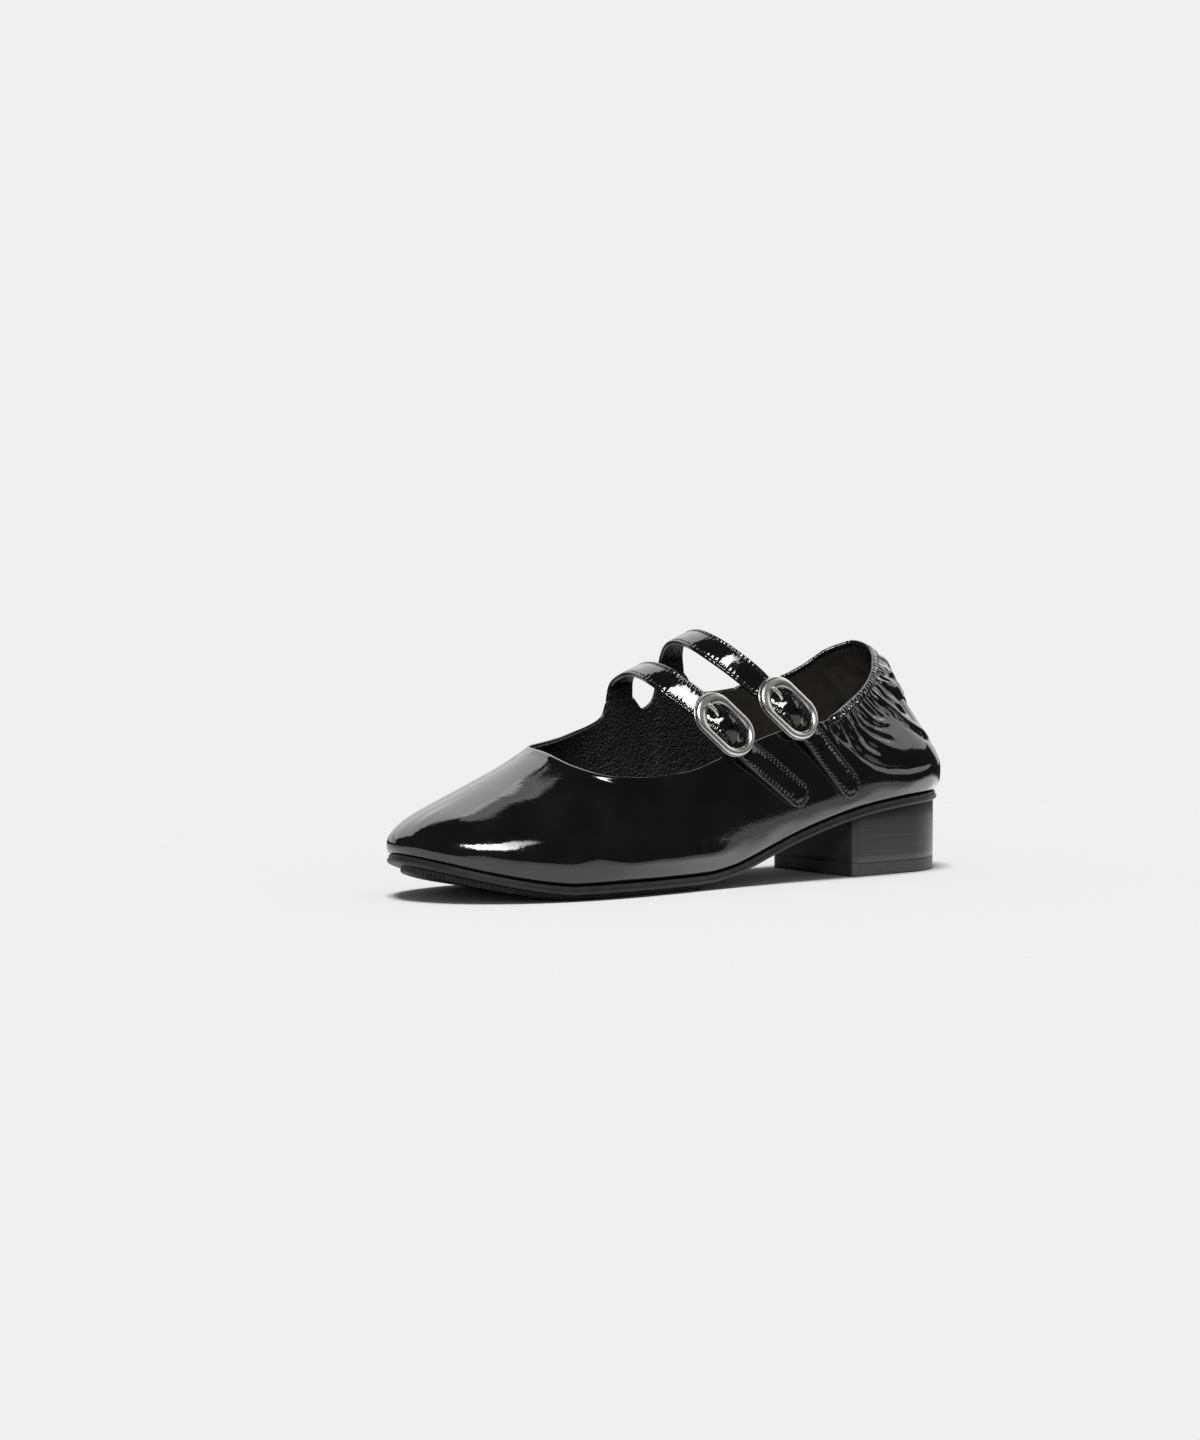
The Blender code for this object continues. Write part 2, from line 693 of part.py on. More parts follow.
def make_strap(name, spec, tree, look):
    centres, widths = with_round_end(*strap_line(spec, tree), STRAP_WIDTH)
    length = np.concatenate([[0], np.cumsum(np.linalg.norm(np.diff(centres, axis=0), axis=1))])
    wide = STRAP_WIDTH + STRAP_FLARE * np.clip(1 - length / 16.0, 0, 1) ** 2
    strap = make_band(name, centres, widths, wide, STRAP_THICK, True, look)
    along, _, faces = buckle_axes(spec)
    middle = np.array(spec["buckle"])
    hole = [middle + along * a + faces * h for a, h in PRONG_HOLE]
    cut(strap, add_rod(name + "_hole", hole, PRONG_RADIUS + 0.4, 12, look))
    return strap


def stadium(length, width, steps, head=0.0):
    """Points round a slot-like outline, head more of it cut off at its -length end."""
    radius = width / 2
    centre = length / 2 - radius
    made = []
    for k in range(steps):
        angle = 2 * math.pi * (k + 0.5) / steps
        x = radius * math.cos(angle)
        y = radius * math.sin(angle)
        x += centre if x > 0 else -(centre - head)
        made.append((x, y))
    return made


def make_buckle(name, spec, look):
    """A flat oval frame with a bar across its middle, under which the strap's elastic is looped."""
    along, across, faces_out = buckle_axes(spec)
    middle = np.array(spec["buckle"])
    steps = 28
    outer = stadium(BUCKLE_LONG, BUCKLE_WIDE, steps)
    hole = stadium(
        BUCKLE_LONG - 2 * BUCKLE_SIDE, BUCKLE_WIDE - 2 * BUCKLE_SIDE, steps, BUCKLE_HEAD - BUCKLE_SIDE
    )
    half = BUCKLE_THICK / 2
    rings = (
        # share of the way in from the outer edge, height
        (0.0, -half),
        (0.0, half * 0.3),
        (0.16, half * 0.85),
        (0.32, half),
        (0.74, half),
        (0.9, half * 0.8),
        (1.0, half * 0.3),
        (1.0, -half),
    )
    points, faces = [], []
    for share, height in rings:
        for (ox, oy), (hx, hy) in zip(outer, hole):
            x, y = ox + (hx - ox) * share, oy + (hy - oy) * share
            points.append(tuple(middle + along * x + across * y + faces_out * height))
    for r in range(len(rings)):
        low, high = r * steps, (r + 1) % len(rings) * steps
        for i in range(steps):
            j = (i + 1) % steps
            faces.append((low + i, low + j, high + j, high + i))
    frame = add_object(name, points, faces, look)
    bar_half = BUCKLE_WIDE / 2 - BUCKLE_SIDE / 2
    start = middle - across * bar_half - faces_out * BAR_DROP
    end = middle + across * bar_half - faces_out * BAR_DROP
    bar = add_rod(name + "_bar_shape", [start, end], BAR_RADIUS, 10, look)
    join(frame, bar)
    return frame


def add_rod(name, line, radius, sides, look):
    """A round rod along a line of points, with flat ends."""
    line = np.array(line, float)
    ways = np.gradient(line, axis=0)
    points, faces = [], []
    helper = np.array([0.0, 0.0, 1.0])
    for place, way in zip(line, ways):
        way = unit(way)
        first = unit(np.cross(way, helper))
        second = np.cross(way, first)
        for k in range(sides):
            angle = 2 * math.pi * k / sides
            points.append(tuple(place + (first * math.cos(angle) + second * math.sin(angle)) * radius))
    for r in range(len(line) - 1):
        for i in range(sides):
            j = (i + 1) % sides
            faces.append((r * sides + i, r * sides + j, (r + 1) * sides + j, (r + 1) * sides + i))
    faces.append(tuple(range(sides)))
    faces.append(tuple((len(line) - 1) * sides + i for i in range(sides)))
    return add_object(name, points, faces, look)


def apply_boolean(target, tool, operation):
    modifier = target.modifiers.new(operation.title(), "BOOLEAN")
    modifier.operation = operation
    modifier.object = tool
    bpy.context.view_layer.update()
    graph = bpy.context.evaluated_depsgraph_get()
    made = bpy.data.meshes.new_from_object(target.evaluated_get(graph))
    target.modifiers.remove(modifier)
    target.data = made
    bpy.data.objects.remove(tool, do_unlink=True)


def join(target, tool):
    apply_boolean(target, tool, "UNION")


def cut(target, tool):
    apply_boolean(target, tool, "DIFFERENCE")


def heel_outline(inset, steps):
    """Plan of the heel block: straight breast with soft corners, straight sides and a round back."""
    half = HEEL_WIDE / 2 - inset
    made = []
    for k in range(steps + 1):
        angle = math.pi * (0.5 + k / steps)
        made.append((HEEL_WIDE / 2 + half * math.cos(angle), half * math.sin(angle)))
    breast = HEEL_LONG - inset - HEEL_CORNER
    side = half - HEEL_CORNER
    for start, sign in ((-90, -1), (0, 1)):
        for k in range(4):
            angle = math.radians(start + 30 * k)
            made.append((breast + HEEL_CORNER * math.cos(angle), sign * side + HEEL_CORNER * math.sin(angle)))
    ahead = np.array([math.cos(math.radians(HEEL_TURN)), math.sin(math.radians(HEEL_TURN))])
    aside = np.array([-ahead[1], ahead[0]])
    return [np.array(HEEL_BACK) + ahead * s + aside * out for s, out in made]


def make_block(name, low, high, inset, look):
    """A plate or block with the heel's plan between two heights given by s."""
    outline = heel_outline(inset, 20)
    count = len(outline)
    half = count // 2
    points = [(s, out, height(s)) for height in (low, high) for s, out in outline]
    faces = [(i, (i + 1) % count, count + (i + 1) % count, count + i) for i in range(count)]
    for base in (0, count):
        # The outline runs from the lateral side round the back to the medial side and across the breast.
        first = 10
        left = [(first - k) % count for k in range(half + 1)]
        right = [(first + k) % count for k in range(half + 1)]
        for k in range(half):
            quad = []
            for index in (left[k], left[k + 1], right[k + 1], right[k]):
                if index not in quad:
                    quad.append(index)
            if len(quad) > 2:
                faces.append(tuple(base + i for i in quad))
    return add_object(name, points, faces, look)


def make_prong(name, spec, look):
    """The prong, from beside the bar up through the strap's hole, to rest on the head of the frame."""
    along, _, faces = buckle_axes(spec)
    middle = np.array(spec["buckle"])
    line = round_curve([middle + along * a + faces * h for a, h in PRONG_LINE], 3)
    return add_rod(name, line, PRONG_RADIUS, 10, look)


def make_elastic(name, spec, tree, look):
    """The short elastic from under the buckle's bar down inside the lateral quarter."""
    _, _, faces = buckle_axes(spec)
    middle = np.array(spec["buckle"])
    below = BAR_DROP + BAR_RADIUS + GAP + ELASTIC_THICK / 2
    line, facing = [middle - faces * below], [faces]
    (top_s, top_z), (end_s, end_z) = spec["elastic"]
    for share in (0.0, 0.33, 0.67, 1.0):
        s = top_s + (end_s - top_s) * share
        z = top_z + (end_z - top_z) * share
        place, square = on_quarter(tree, s, z, -4.0)
        line.append(place - square * (WALL + 0.7 + ELASTIC_THICK / 2))
        facing.append(square)
    line = round_curve(line, 3)
    facing = round_curve(facing, 3)
    wide = np.full(len(line), ELASTIC_WIDTH)
    return make_band(name, line, band_across(line, facing), wide, ELASTIC_THICK, False, look)


def main():
    clear_scene()
    edge = Edge()
    patent = material("patent_leather", (0.012, 0.012, 0.013), 0.12)
    sock = material("insole_leather", (0.018, 0.017, 0.017), 0.6)
    rubber = material("sole_rubber", (0.025, 0.025, 0.026), 0.55)
    stack = material("stacked_heel", (0.035, 0.033, 0.033), 0.5)
    nickel = material("buckle_metal", (0.62, 0.6, 0.56), 0.32, 1.0)
    ribbed = material("elastic", (0.02, 0.02, 0.02), 0.9)

    def sole_bottom(s):
        return float(sole_z(s)[0])

    def sole_top(s):
        return sole_bottom(s) + OUTSOLE_THICK

    def pad_low(s):
        return sole_bottom(s) - GAP - PAD_THICK

    def under_sole(s):
        return sole_bottom(s) - GAP

    def insole_low(s):
        return sole_top(s) + GAP

    def insole_high(s):
        return insole_low(s) + INSOLE_THICK

    make_plate("outsole", edge, 0.0, 0.0, 40, 4, sole_bottom, sole_top, (1.3, 1.7), (0.4, 0.5), rubber)
    pad_bevels = ((0.4, 0.5), (0.2, 0.2))
    make_plate("forefoot_pad", edge, PAD_INSET, PAD_BACK_S, 26, 3, pad_low, under_sole, *pad_bevels, rubber)
    make_block("heel_block", lambda s: LIFT_THICK + GAP, under_sole, 0.0, stack)
    make_block("heel_top_lift", lambda s: 0.0, lambda s: LIFT_THICK, 0.2, rubber)
    insole_bevels = ((0.2, 0.2), (0.8, 0.7))
    make_plate("insole", edge, INSOLE_INSET, 0.0, 32, 3, insole_low, insole_high, *insole_bevels, sock)
    upper = make_upper(edge, patent)
    tree = surface_tree(upper)
    for place, spec in STRAPS.items():
        make_strap("strap_" + place, spec, tree, patent)
        make_buckle("buckle_" + place, spec, nickel)
        make_prong("buckle_prong_" + place, spec, nickel)
        make_elastic("elastic_tab_" + place, spec, tree, ribbed)


main()
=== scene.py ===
"""Looks of the double-strap mary jane: patent leather, gathered heel, satin nickel buckles, stacked heel.

Shapes are worked out in the shoe's own measures, in millimetres, as the solids are:
    s    forward along the shoe from the back of the outsole's heel
    out  sideways from the shoe's long axis, positive to the outer (lateral) side
    z    up from the floor
"""

import math

import bmesh
import bpy
import numpy as np
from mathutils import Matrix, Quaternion, Vector
from mathutils.bvhtree import BVHTree


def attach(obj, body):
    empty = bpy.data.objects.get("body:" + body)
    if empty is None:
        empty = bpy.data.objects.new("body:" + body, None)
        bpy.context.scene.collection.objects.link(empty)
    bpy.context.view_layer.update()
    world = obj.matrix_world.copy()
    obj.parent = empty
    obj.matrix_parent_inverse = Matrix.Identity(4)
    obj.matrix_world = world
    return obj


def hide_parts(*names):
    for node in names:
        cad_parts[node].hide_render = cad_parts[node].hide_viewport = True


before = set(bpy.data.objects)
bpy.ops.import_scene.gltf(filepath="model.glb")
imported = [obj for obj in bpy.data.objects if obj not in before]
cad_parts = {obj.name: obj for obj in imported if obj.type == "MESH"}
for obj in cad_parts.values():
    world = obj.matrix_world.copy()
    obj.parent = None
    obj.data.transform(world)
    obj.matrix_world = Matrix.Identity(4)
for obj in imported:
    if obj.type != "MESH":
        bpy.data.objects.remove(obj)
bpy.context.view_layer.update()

MM = 0.001
GAP = 0.3  # between pieces that lie against each other
ORIGIN_S, ORIGIN_OUT = 121.7, 0.9  # the scene's origin in the shoe's own measures

# Sole and heel.
OUTSOLE_THICK = 4.0
EDGE_THICK = 3.2  # the outsole's thickness at its edge
PAD_THICK = 2.0
PAD_INSET = 5.0  # the forefoot pad's edge from the outsole's edge
PAD_BACK_S = 126.0
GROOVE_PITCH = 1.8  # of the fine grooves in the pad's edge
GROOVE_DEPTH = 0.35
LIFT_THICK = 5.0
HEEL_LONG = 55.0
HEEL_WIDE = 48.5
HEEL_CORNER = 3.0
HEEL_BACK = (2.4, -1.8)  # s and out of the heel block's back
HEEL_TURN = math.radians(5.0)
HEEL_AHEAD = np.array([math.cos(HEEL_TURN), math.sin(HEEL_TURN)])
BREAST_SHADE_DEPTH = 0.8  # how far the heel's front face, with its painted shade, reaches round its corners
LAYER = 3.1  # thickness of the leather layers in the heel stack

# Upper.
WALL = 1.8  # leather with its lining
LEATHER = 0.9
TUCK = 4.0  # how far the leather is drawn in under its own edge
ROLL = 1.9  # height of the turn by which it is drawn in
SEAT = 0.15  # between the outsole and the drawn-in leather
EDGE_ROUND = 0.42  # radius of the folded topline

# Straps, buckles and elastic.
STRAP_WIDTH = 10.0
STRAP_FLARE = 1.5  # extra width at the root
STRAP_THICK = 1.8
STRAP_REST = 0.35  # between the tail and the quarter
STRAP_STEP = 0.42  # between the rings of points along a strap
STRAP_CORNER = 0.3  # radius of a strap's upper edges
STITCH_INSET = 1.25  # from the strap's edge
STITCH_PITCH = 1.8
STITCH_RADIUS = 0.21
STITCH_SINK = 0.06
STITCH_SHAPE = (
    # place along the stitch, thickness, lift
    (-1.0, 0.35, -0.16),
    (-0.72, 0.9, 0.0),
    (0.0, 1.0, 0.05),
    (0.72, 0.9, 0.0),
    (1.0, 0.35, -0.16),
)
BUCKLE_LONG = 28.0
BUCKLE_WIDE = 17.6
BUCKLE_THICK = 2.4
BUCKLE_SIDE = 3.1  # the frame's width at its sides and its far end
BUCKLE_HEAD = 5.4  # and at the end that the prong is hinged to
BAR_RADIUS = 0.9
BAR_DROP = 1.4  # how far the bar lies under the frame's middle plane
PRONG_RADIUS = 0.95
# Places along the buckle from its bar, and heights.
PRONG_LINE = ((-1.95, -1.5), (-3.9, -0.2), (-5.3, 1.0), (-6.8, 1.8), (-8.6, 2.1), (-10.9, 1.95))
PRONG_HOLE = ((-1.9, -2.0), (-5.3, 1.9))
# Places only, of the next hole and of the strap's middle points.
SPARE_HOLE = 2.4
IN_BUCKLE = (-10.6, -9.2, -7.9, -6.6, -5.2, -3.9, -2.6, -1.3, 0.0, 1.5, 3.0, 4.6, 6.2, 7.8, 9.4, 11.0, 13.0)
HOLE_RADIUS = 1.1
ELASTIC_THICK = 0.9
ELASTIC_WIDTH = 9.0
RIB = 0.75  # between the elastic's ribs
RIB_DEPTH = 0.09
WEFT = 0.5  # between the threads across them

# Dark and light colour of the soft parts inside.
LINING_COLOURS = (0.003, 0.0028, 0.0026), (0.006, 0.0055, 0.0052)
SUEDE_COLOURS = (0.003, 0.0025, 0.002), (0.011, 0.0088, 0.0065)
SOCK_COLOURS = (0.010, 0.010, 0.010), (0.018, 0.0175, 0.017)

# Studio, in metres.
BACKGROUND = 0.871
FLOOR_WHITE = 0.8
FLOOR_SIZE = 1.6
FLOOR_REACH = (0.29, 0.42)  # the floor starts to fade at the first distance and is gone at the second
FLOOR_PAINTED_GLOW = (0.05, 0.11)  # painted light: what the gloss mirrors of the floor changes between these distances to a side, from a painted brighter white to a dimmer one
FLOOR_SHADE = ("outsole_rubber", "forefoot_pad_rubber", "heel_stack", "heel_lift")
SHOE_MIDDLE = Vector((0, 0, 0.045))

# The outsole's edge in plan: s, then how far out it reaches on the lateral and on the medial side.
HEEL_TIP = (0.0, -1.5)
TOE_TIP = (243.5, -3.0)
EDGE = (
    # s, lateral, medial
    (3.5, 12.0, 14.0),
    (13.0, 21.6, 22.2),
    (27.0, 27.2, 25.6),
    (45.0, 29.6, 25.2),
    (70.0, 30.2, 22.6),
    (95.0, 30.6, 21.6),
    (120.0, 33.0, 24.4),
    (145.0, 37.0, 31.4),
    (165.0, 39.3, 35.8),
    (183.0, 39.5, 37.8),
    (200.0, 37.0, 37.2),
    (215.0, 32.0, 34.0),
    (228.0, 24.5, 28.2),
    (237.0, 15.5, 20.4),
    (242.0, 5.6, 11.0),
)

# Side view of the outsole's lower face.
SOLE_LINE = (
    # s, z
    (-4.0, 27.3),
    (10.0, 27.0),
    (28.0, 26.3),
    (41.0, 25.1),
    (50.0, 23.8),
    (60.0, 21.7),
    (72.0, 18.6),
    (84.0, 14.9),
    (95.0, 10.9),
    (106.0, 6.9),
    (116.0, 4.1),
    (128.0, 2.5),
    (140.0, 2.3),
    (190.0, 2.3),
    (200.0, 3.3),
    (210.0, 5.0),
    (220.0, 7.2),
    (230.0, 9.9),
    (238.0, 12.4),
    (244.0, 14.4),
    (250.0, 16.4),
)

# The upper's sections, in order round the shoe from the back of the heel. Each starts at foot along the
# outsole's edge. It leaves the topline at slope degrees below level for reach, and stands on the sole leaning
# out by lean over rise.
SECTIONS = {
    "lateral": (
        # foot, top_s, top_out, top_z, slope, reach, rise, lean
        (0.0, 24.4, -3.0, 86.4, 62, 16, 14.5, 2.8),
        (13.0, 31.4, 9.5, 79.6, 66, 15, 13.5, 3.2),
        (30.0, 42.6, 18.0, 72.0, 72, 13, 13.0, 3.8),
        (50.0, 56.8, 23.5, 65.5, 78, 12, 12.5, 3.8),
        (68.0, 69.0, 26.4, 60.8, 84, 12, 12.0, 3.4),
        (84.0, 83.0, 28.0, 59.6, 86, 12, 11.5, 3.0),
        (98.0, 97.0, 29.2, 56.8, 86, 12, 11.5, 2.8),
        (118.0, 117.0, 31.0, 50.6, 84, 12, 11.0, 2.6),
        (141.0, 138.0, 32.4, 45.2, 78, 10, 11.0, 3.0),
        (160.0, 155.0, 31.8, 44.2, 68, 9, 11.0, 3.6),
        (178.0, 168.0, 28.4, 45.0, 57, 10, 11.0, 4.2),
        (195.0, 176.0, 22.0, 47.2, 46, 13, 11.5, 4.2),
        (212.0, 180.0, 14.5, 50.0, 37, 19, 11.5, 3.8),
        (228.0, 181.4, 6.5, 52.2, 32, 26, 12.0, 3.0),
        (243.5, 181.6, -1.5, 53.4, 29, 32, 12.0, 2.6),
    ),
    "medial": (
        (228.0, 180.6, -8.5, 53.8, 32, 28, 12.0, 2.8),
        (212.0, 177.4, -14.5, 54.0, 38, 24, 12.0, 3.0),
        (192.0, 169.0, -20.0, 54.4, 47, 18, 12.0, 3.0),
        (172.0, 158.0, -24.4, 55.4, 58, 14, 12.0, 3.0),
        (153.0, 147.6, -27.4, 57.4, 72, 14, 12.0, 2.8),
        (141.0, 139.4, -28.2, 59.8, 81, 14, 12.0, 2.8),
        (135.0, 134.6, -28.15, 63.0, 84, 16.3, 12.0, 2.8),
        (132.8, 133.0, -27.7, 68.2, 84, 21.2, 12.0, 2.8),
        (121.6, 121.6, -27.8, 69.6, 84, 20.5, 12.0, 2.8),
        (116.2, 116.2, -28.4, 64.6, 84, 14.5, 12.0, 2.8),
        (111.4, 111.2, -27.95, 68.6, 84, 17.5, 12.0, 2.8),
        (109.6, 109.6, -27.1, 76.4, 84, 25.0, 12.0, 2.8),
        (98.0, 98.0, -26.85, 78.2, 84, 24.6, 12.0, 2.8),
        (94.0, 93.6, -27.35, 72.8, 84, 18.4, 12.0, 2.8),
        (86.0, 86.0, -27.6, 69.8, 84, 14, 12.0, 2.8),
        (72.0, 72.0, -26.9, 70.8, 79, 14, 12.0, 2.8),
        (53.0, 53.5, -25.0, 74.1, 72, 14, 12.5, 3.2),
        (40.0, 44.4, -22.6, 78.2, 72, 14, 13.0, 3.2),
        (26.0, 35.0, -18.2, 84.8, 68, 15, 13.5, 3.2),
        (12.0, 26.4, -11.6, 88.2, 64, 16, 14.0, 3.0),
    ),
}

# Each strap's arch from its root on the medial side. It enters the buckle at enters, measured along the
# buckle from its middle. The buckle points down the strap and faces away from the foot. The tail ends at
# tip (s, z), and the elastic runs inside the quarter between two places (s, z).
STRAPS = {
    "front": {
        "arch": (
            # s, out, z, tilt in degrees
            (127.3, -27.0, 69.6, 7),
            (127.6, -25.4, 75.0, 12),
            (130.3, -16.1, 79.6, 20),
            (134.3, -2.1, 81.9, 22),
            (135.9, 8.4, 81.1, 30),
            (135.2, 14.6, 79.0, 45),
            (133.7, 18.0, 76.8, 50),
            (129.7, 22.5, 72.7, 50),
        ),
        "enters": -10.6,
        "buckle": (118.9, 31.4, 62.3),
        "points": (-0.69, 0.24, -0.69),
        "faces": (0.02, 0.95, 0.30),
        "tip": (81.4, 31.0),
        "elastic": ((112.5, 50.6), (107.5, 37.0)),
        "seed": 46,
    },
    "rear": {
        "arch": (
            (103.8, -26.1, 78.1, 9),
            (104.8, -24.6, 84.0, 14),
            (107.2, -18.2, 90.2, 20),
            (110.2, -7.0, 93.0, 24),
            (112.1, 6.4, 91.8, 32),
            (108.6, 15.2, 87.1, 48),
            (103.0, 20.7, 81.4, 50),
        ),
        "enters": -14.0,
        "buckle": (87.4, 29.2, 67.0),
        "points": (-0.69, 0.24, -0.69),
        "faces": (0.02, 0.94, 0.33),
        "tip": (57.6, 32.4),
        "elastic": ((82.0, 57.4), (78.0, 43.0)),
        "seed": 45,
    },
}

# Main creases of the gathered heel. Each is a path of (s, z) on a side, or of (out, z) on the back. It sinks
# by depth along the path, over width, and rises by ridge beside it, above the path if ridge_up or else below.
CREASES = {
    "lateral": (
        # depth, width, ridge, ridge_up, path
        (
            1.1, 1.0, 0.9, True,
            ((43.5, 68), (38.5, 64.9), (31.5, 60.5), (25.5, 56.7), (18.5, 52.9), (11.6, 49.8), (6, 47.6)),
        ),
        (0.8, 1.3, 0.7, False, ((31.5, 76.5), (27, 74.8), (20.5, 72.4), (13.5, 68.6), (9.5, 64))),
        (0.9, 1.4, 0.6, True, ((35.5, 73), (31.5, 69), (25, 65.8), (18, 63.4), (12, 62))),
        (
            0.6, 0.9, 0.2, False,
            ((50.5, 66.5), (49.4, 61.2), (46, 58), (41.8, 56.6), (37.1, 56.1), (34, 56.6)),
        ),
        (0.7, 1.0, 0.25, False, ((53, 65), (51.6, 60), (48.2, 56.2), (43, 53.4), (37.5, 51.6), (30, 49.8))),
        (0.4, 0.9, 0.2, False, ((47, 67.6), (45.6, 63.8), (42.2, 61), (38, 60), (35, 60.2))),
        (
            0.7, 1.2, 0.5, False,
            ((56.5, 63.5), (55, 58.6), (52.6, 54.2), (49.4, 50.6), (45.4, 48.6), (41, 47.8)),
        ),
        (0.6, 1.2, 0.4, False, ((61.5, 62), (59.6, 57.2), (57.2, 52.6), (54.6, 48.6), (52.2, 46.2))),
        (0.4, 1.2, 0.3, False, ((65, 60.6), (63.4, 56.2), (61.6, 52.4))),
        (0.6, 1.2, 0.4, True, ((38, 71.4), (33.6, 66), (27.5, 61.8), (21, 59.4))),
    ),
    "back": (
        (0.9, 1.6, 0.6, False, ((11, 78), (9, 72), (5.5, 66), (1, 61))),
        (0.9, 1.6, 0.6, False, ((-14, 82), (-12, 75), (-7.5, 68.5), (-2.5, 64))),
        (0.7, 1.5, 0.5, False, ((3, 83), (2, 76), (-1, 70))),
        (0.7, 1.5, 0.5, False, ((-6, 84), (-6, 77), (-4.5, 71))),
    ),
    "medial": (
        (1.2, 1.5, 0.8, False, ((37, 80.5), (32, 74), (25.5, 67.5), (18.5, 61), (11, 55.6), (5.5, 52.4))),
        (0.8, 1.3, 0.6, False, ((46.5, 74.5), (44.6, 68.6), (40.4, 63.4), (34, 60), (27, 58.6))),
        (0.9, 1.3, 0.6, False, ((52, 72), (50.6, 65.8), (46.6, 60), (40, 56), (32, 54))),
        (0.7, 1.2, 0.5, False, ((57.5, 71), (56.4, 64.8), (53.4, 58.4), (49, 53.6), (43, 50.6))),
        (0.6, 1.2, 0.4, False, ((63, 70), (62.2, 63.6), (60, 57.6), (57.4, 53))),
        (0.7, 1.3, 0.5, False, ((30, 84.5), (25, 79), (18.5, 74.5), (11.5, 72))),
        (0.4, 1.2, 0.3, False, ((68, 69), (67, 64), (65.6, 59.6))),
    ),
}

# Where the soft heel ends over the stiff counter, from the medial side round the back to the lateral side.
COUNTER_LINE = (
    # u: distance round the topline from the back of the heel, z
    (-62.0, 57.0),
    (-54.0, 50.0),
    (-44.0, 45.0),
    (-30.0, 43.2),
    (-14.0, 44.0),
    (0.0, 44.2),
    (12.0, 43.0),
    (22.0, 41.6),
    (31.0, 41.0),
    (40.0, 41.8),
    (45.0, 43.6),
    (49.0, 46.6),
    (53.0, 51.5),
    (58.0, 57.0),
    (64.0, 62.0),
)

# Section of the buckle's frame: the share of the way in from its outer edge, and the height over its middle
# plane.
FRAME_SECTION = (
    (0.02, -1.2), (-0.03, -1.17), (-0.045, -1.08), (-0.045, -0.86), (-0.025, -0.78), (0.03, -0.76),
    (0.08, -0.72), (0.08, -0.60), (0.03, -0.54), (0.004, -0.46), (0.0, -0.30), (0.004, 0.0),
    (0.022, 0.32), (0.058, 0.60), (0.11, 0.84), (0.18, 1.02), (0.27, 1.14), (0.38, 1.20),
    (0.50, 1.18), (0.61, 1.10), (0.71, 0.97), (0.80, 0.79), (0.875, 0.57), (0.94, 0.30),
    (0.98, 0.02), (1.0, -0.30), (1.0, -1.08), (0.96, -1.2),
)


# ---------------------------------------------------------------- places and curves


def to_world(points):
    """Points in the shoe's own measures as points of the scene, in metres."""
    points = np.asarray(points, float).reshape(-1, 3)
    return np.column_stack([ORIGIN_S - points[:, 0], ORIGIN_OUT - points[:, 1], points[:, 2]]) * MM


def unit(vector):
    vector = np.asarray(vector, float)
    return vector / np.maximum(np.linalg.norm(vector, axis=-1, keepdims=True), 1e-9)


def smoothstep(low, high, value):
    """0 up to low and 1 from high on with a soft step between, or the other way if low is above high."""
    t = np.clip((value - low) / (high - low), 0, 1)
    return t * t * (3 - 2 * t)


def hill(value, width):
    """A soft hill of height 1 round value 0."""
    return np.exp(-((value / width) ** 2))


def hermite(start, end, leave, arrive, u):
    """A curve from start to end, at u from 0 to 1, that leaves and arrives in the given directions."""
    return (
        start * (2 * u**3 - 3 * u**2 + 1)
        + leave * (u**3 - 2 * u**2 + u)
        + end * (3 * u**2 - 2 * u**3)
        + arrive * (u**3 - u**2)
    )


def smooth_between(knots, values, at):
    """Values at places between knots on a smooth curve that never overshoots a row of the table."""
    knots = np.asarray(knots, float)
    values = np.asarray(values, float)
    step = np.diff(knots)
    slope = np.diff(values, axis=0) / step[:, None]
    tangent = np.zeros_like(values)
    tangent[0], tangent[-1] = slope[0], slope[-1]
    before, after = slope[:-1], slope[1:]
    same_way = before * after > 0
    weight_a = (2 * step[1:] + step[:-1])[:, None]
    weight_b = (step[1:] + 2 * step[:-1])[:, None]
    pull = weight_a / np.where(same_way, before, 1) + weight_b / np.where(same_way, after, 1)
    tangent[1:-1] = np.where(same_way, (weight_a + weight_b) / pull, 0)
    at = np.atleast_1d(np.asarray(at, float))
    span = np.clip(np.searchsorted(knots, at, side="right") - 1, 0, len(step) - 1)
    wide = step[span][:, None]
    u = ((at - knots[span]) / step[span])[:, None]
    return hermite(values[span], values[span + 1], tangent[span] * wide, tangent[span + 1] * wide, u)


def round_curve(points, per_span, closed=False):
    """A curve through points, with per_span steps from each point to the next."""
    points = np.asarray(points, float)
    count = len(points)
    u = (np.arange(per_span) / per_span)[:, None]
    made = []
    for i in range(count if closed else count - 1):
        if closed:
            p0, p1, p2, p3 = (points[(i + k) % count] for k in (-1, 0, 1, 2))
        else:
            p1, p2 = points[i], points[i + 1]
            p0 = points[i - 1] if i > 0 else 2 * p1 - p2
            p3 = points[i + 2] if i + 2 < count else 2 * p2 - p1
        gaps = [max(np.linalg.norm(b - a), 1e-6) ** 0.5 for a, b in ((p0, p1), (p1, p2), (p2, p3))]
        leave = (p2 - p1) + gaps[1] * ((p1 - p0) / gaps[0] - (p2 - p0) / (gaps[0] + gaps[1]))
        arrive = (p2 - p1) + gaps[1] * ((p3 - p2) / gaps[2] - (p3 - p1) / (gaps[1] + gaps[2]))
        made.append(hermite(p1, p2, leave, arrive, u))
    if not closed:
        made.append(points[-1:])
    return np.vstack(made)


def along_line(line):
    """Distance along a line at each of its points."""
    return np.concatenate([[0], np.cumsum(np.linalg.norm(np.diff(line, axis=0), axis=1))])


def rows_at(at, length, *tables):
    """The rows of tables at places along a line, where length holds the place of each of their own rows."""
    return [np.column_stack([np.interp(at, length, col) for col in np.asarray(v, float).T]) for v in tables]


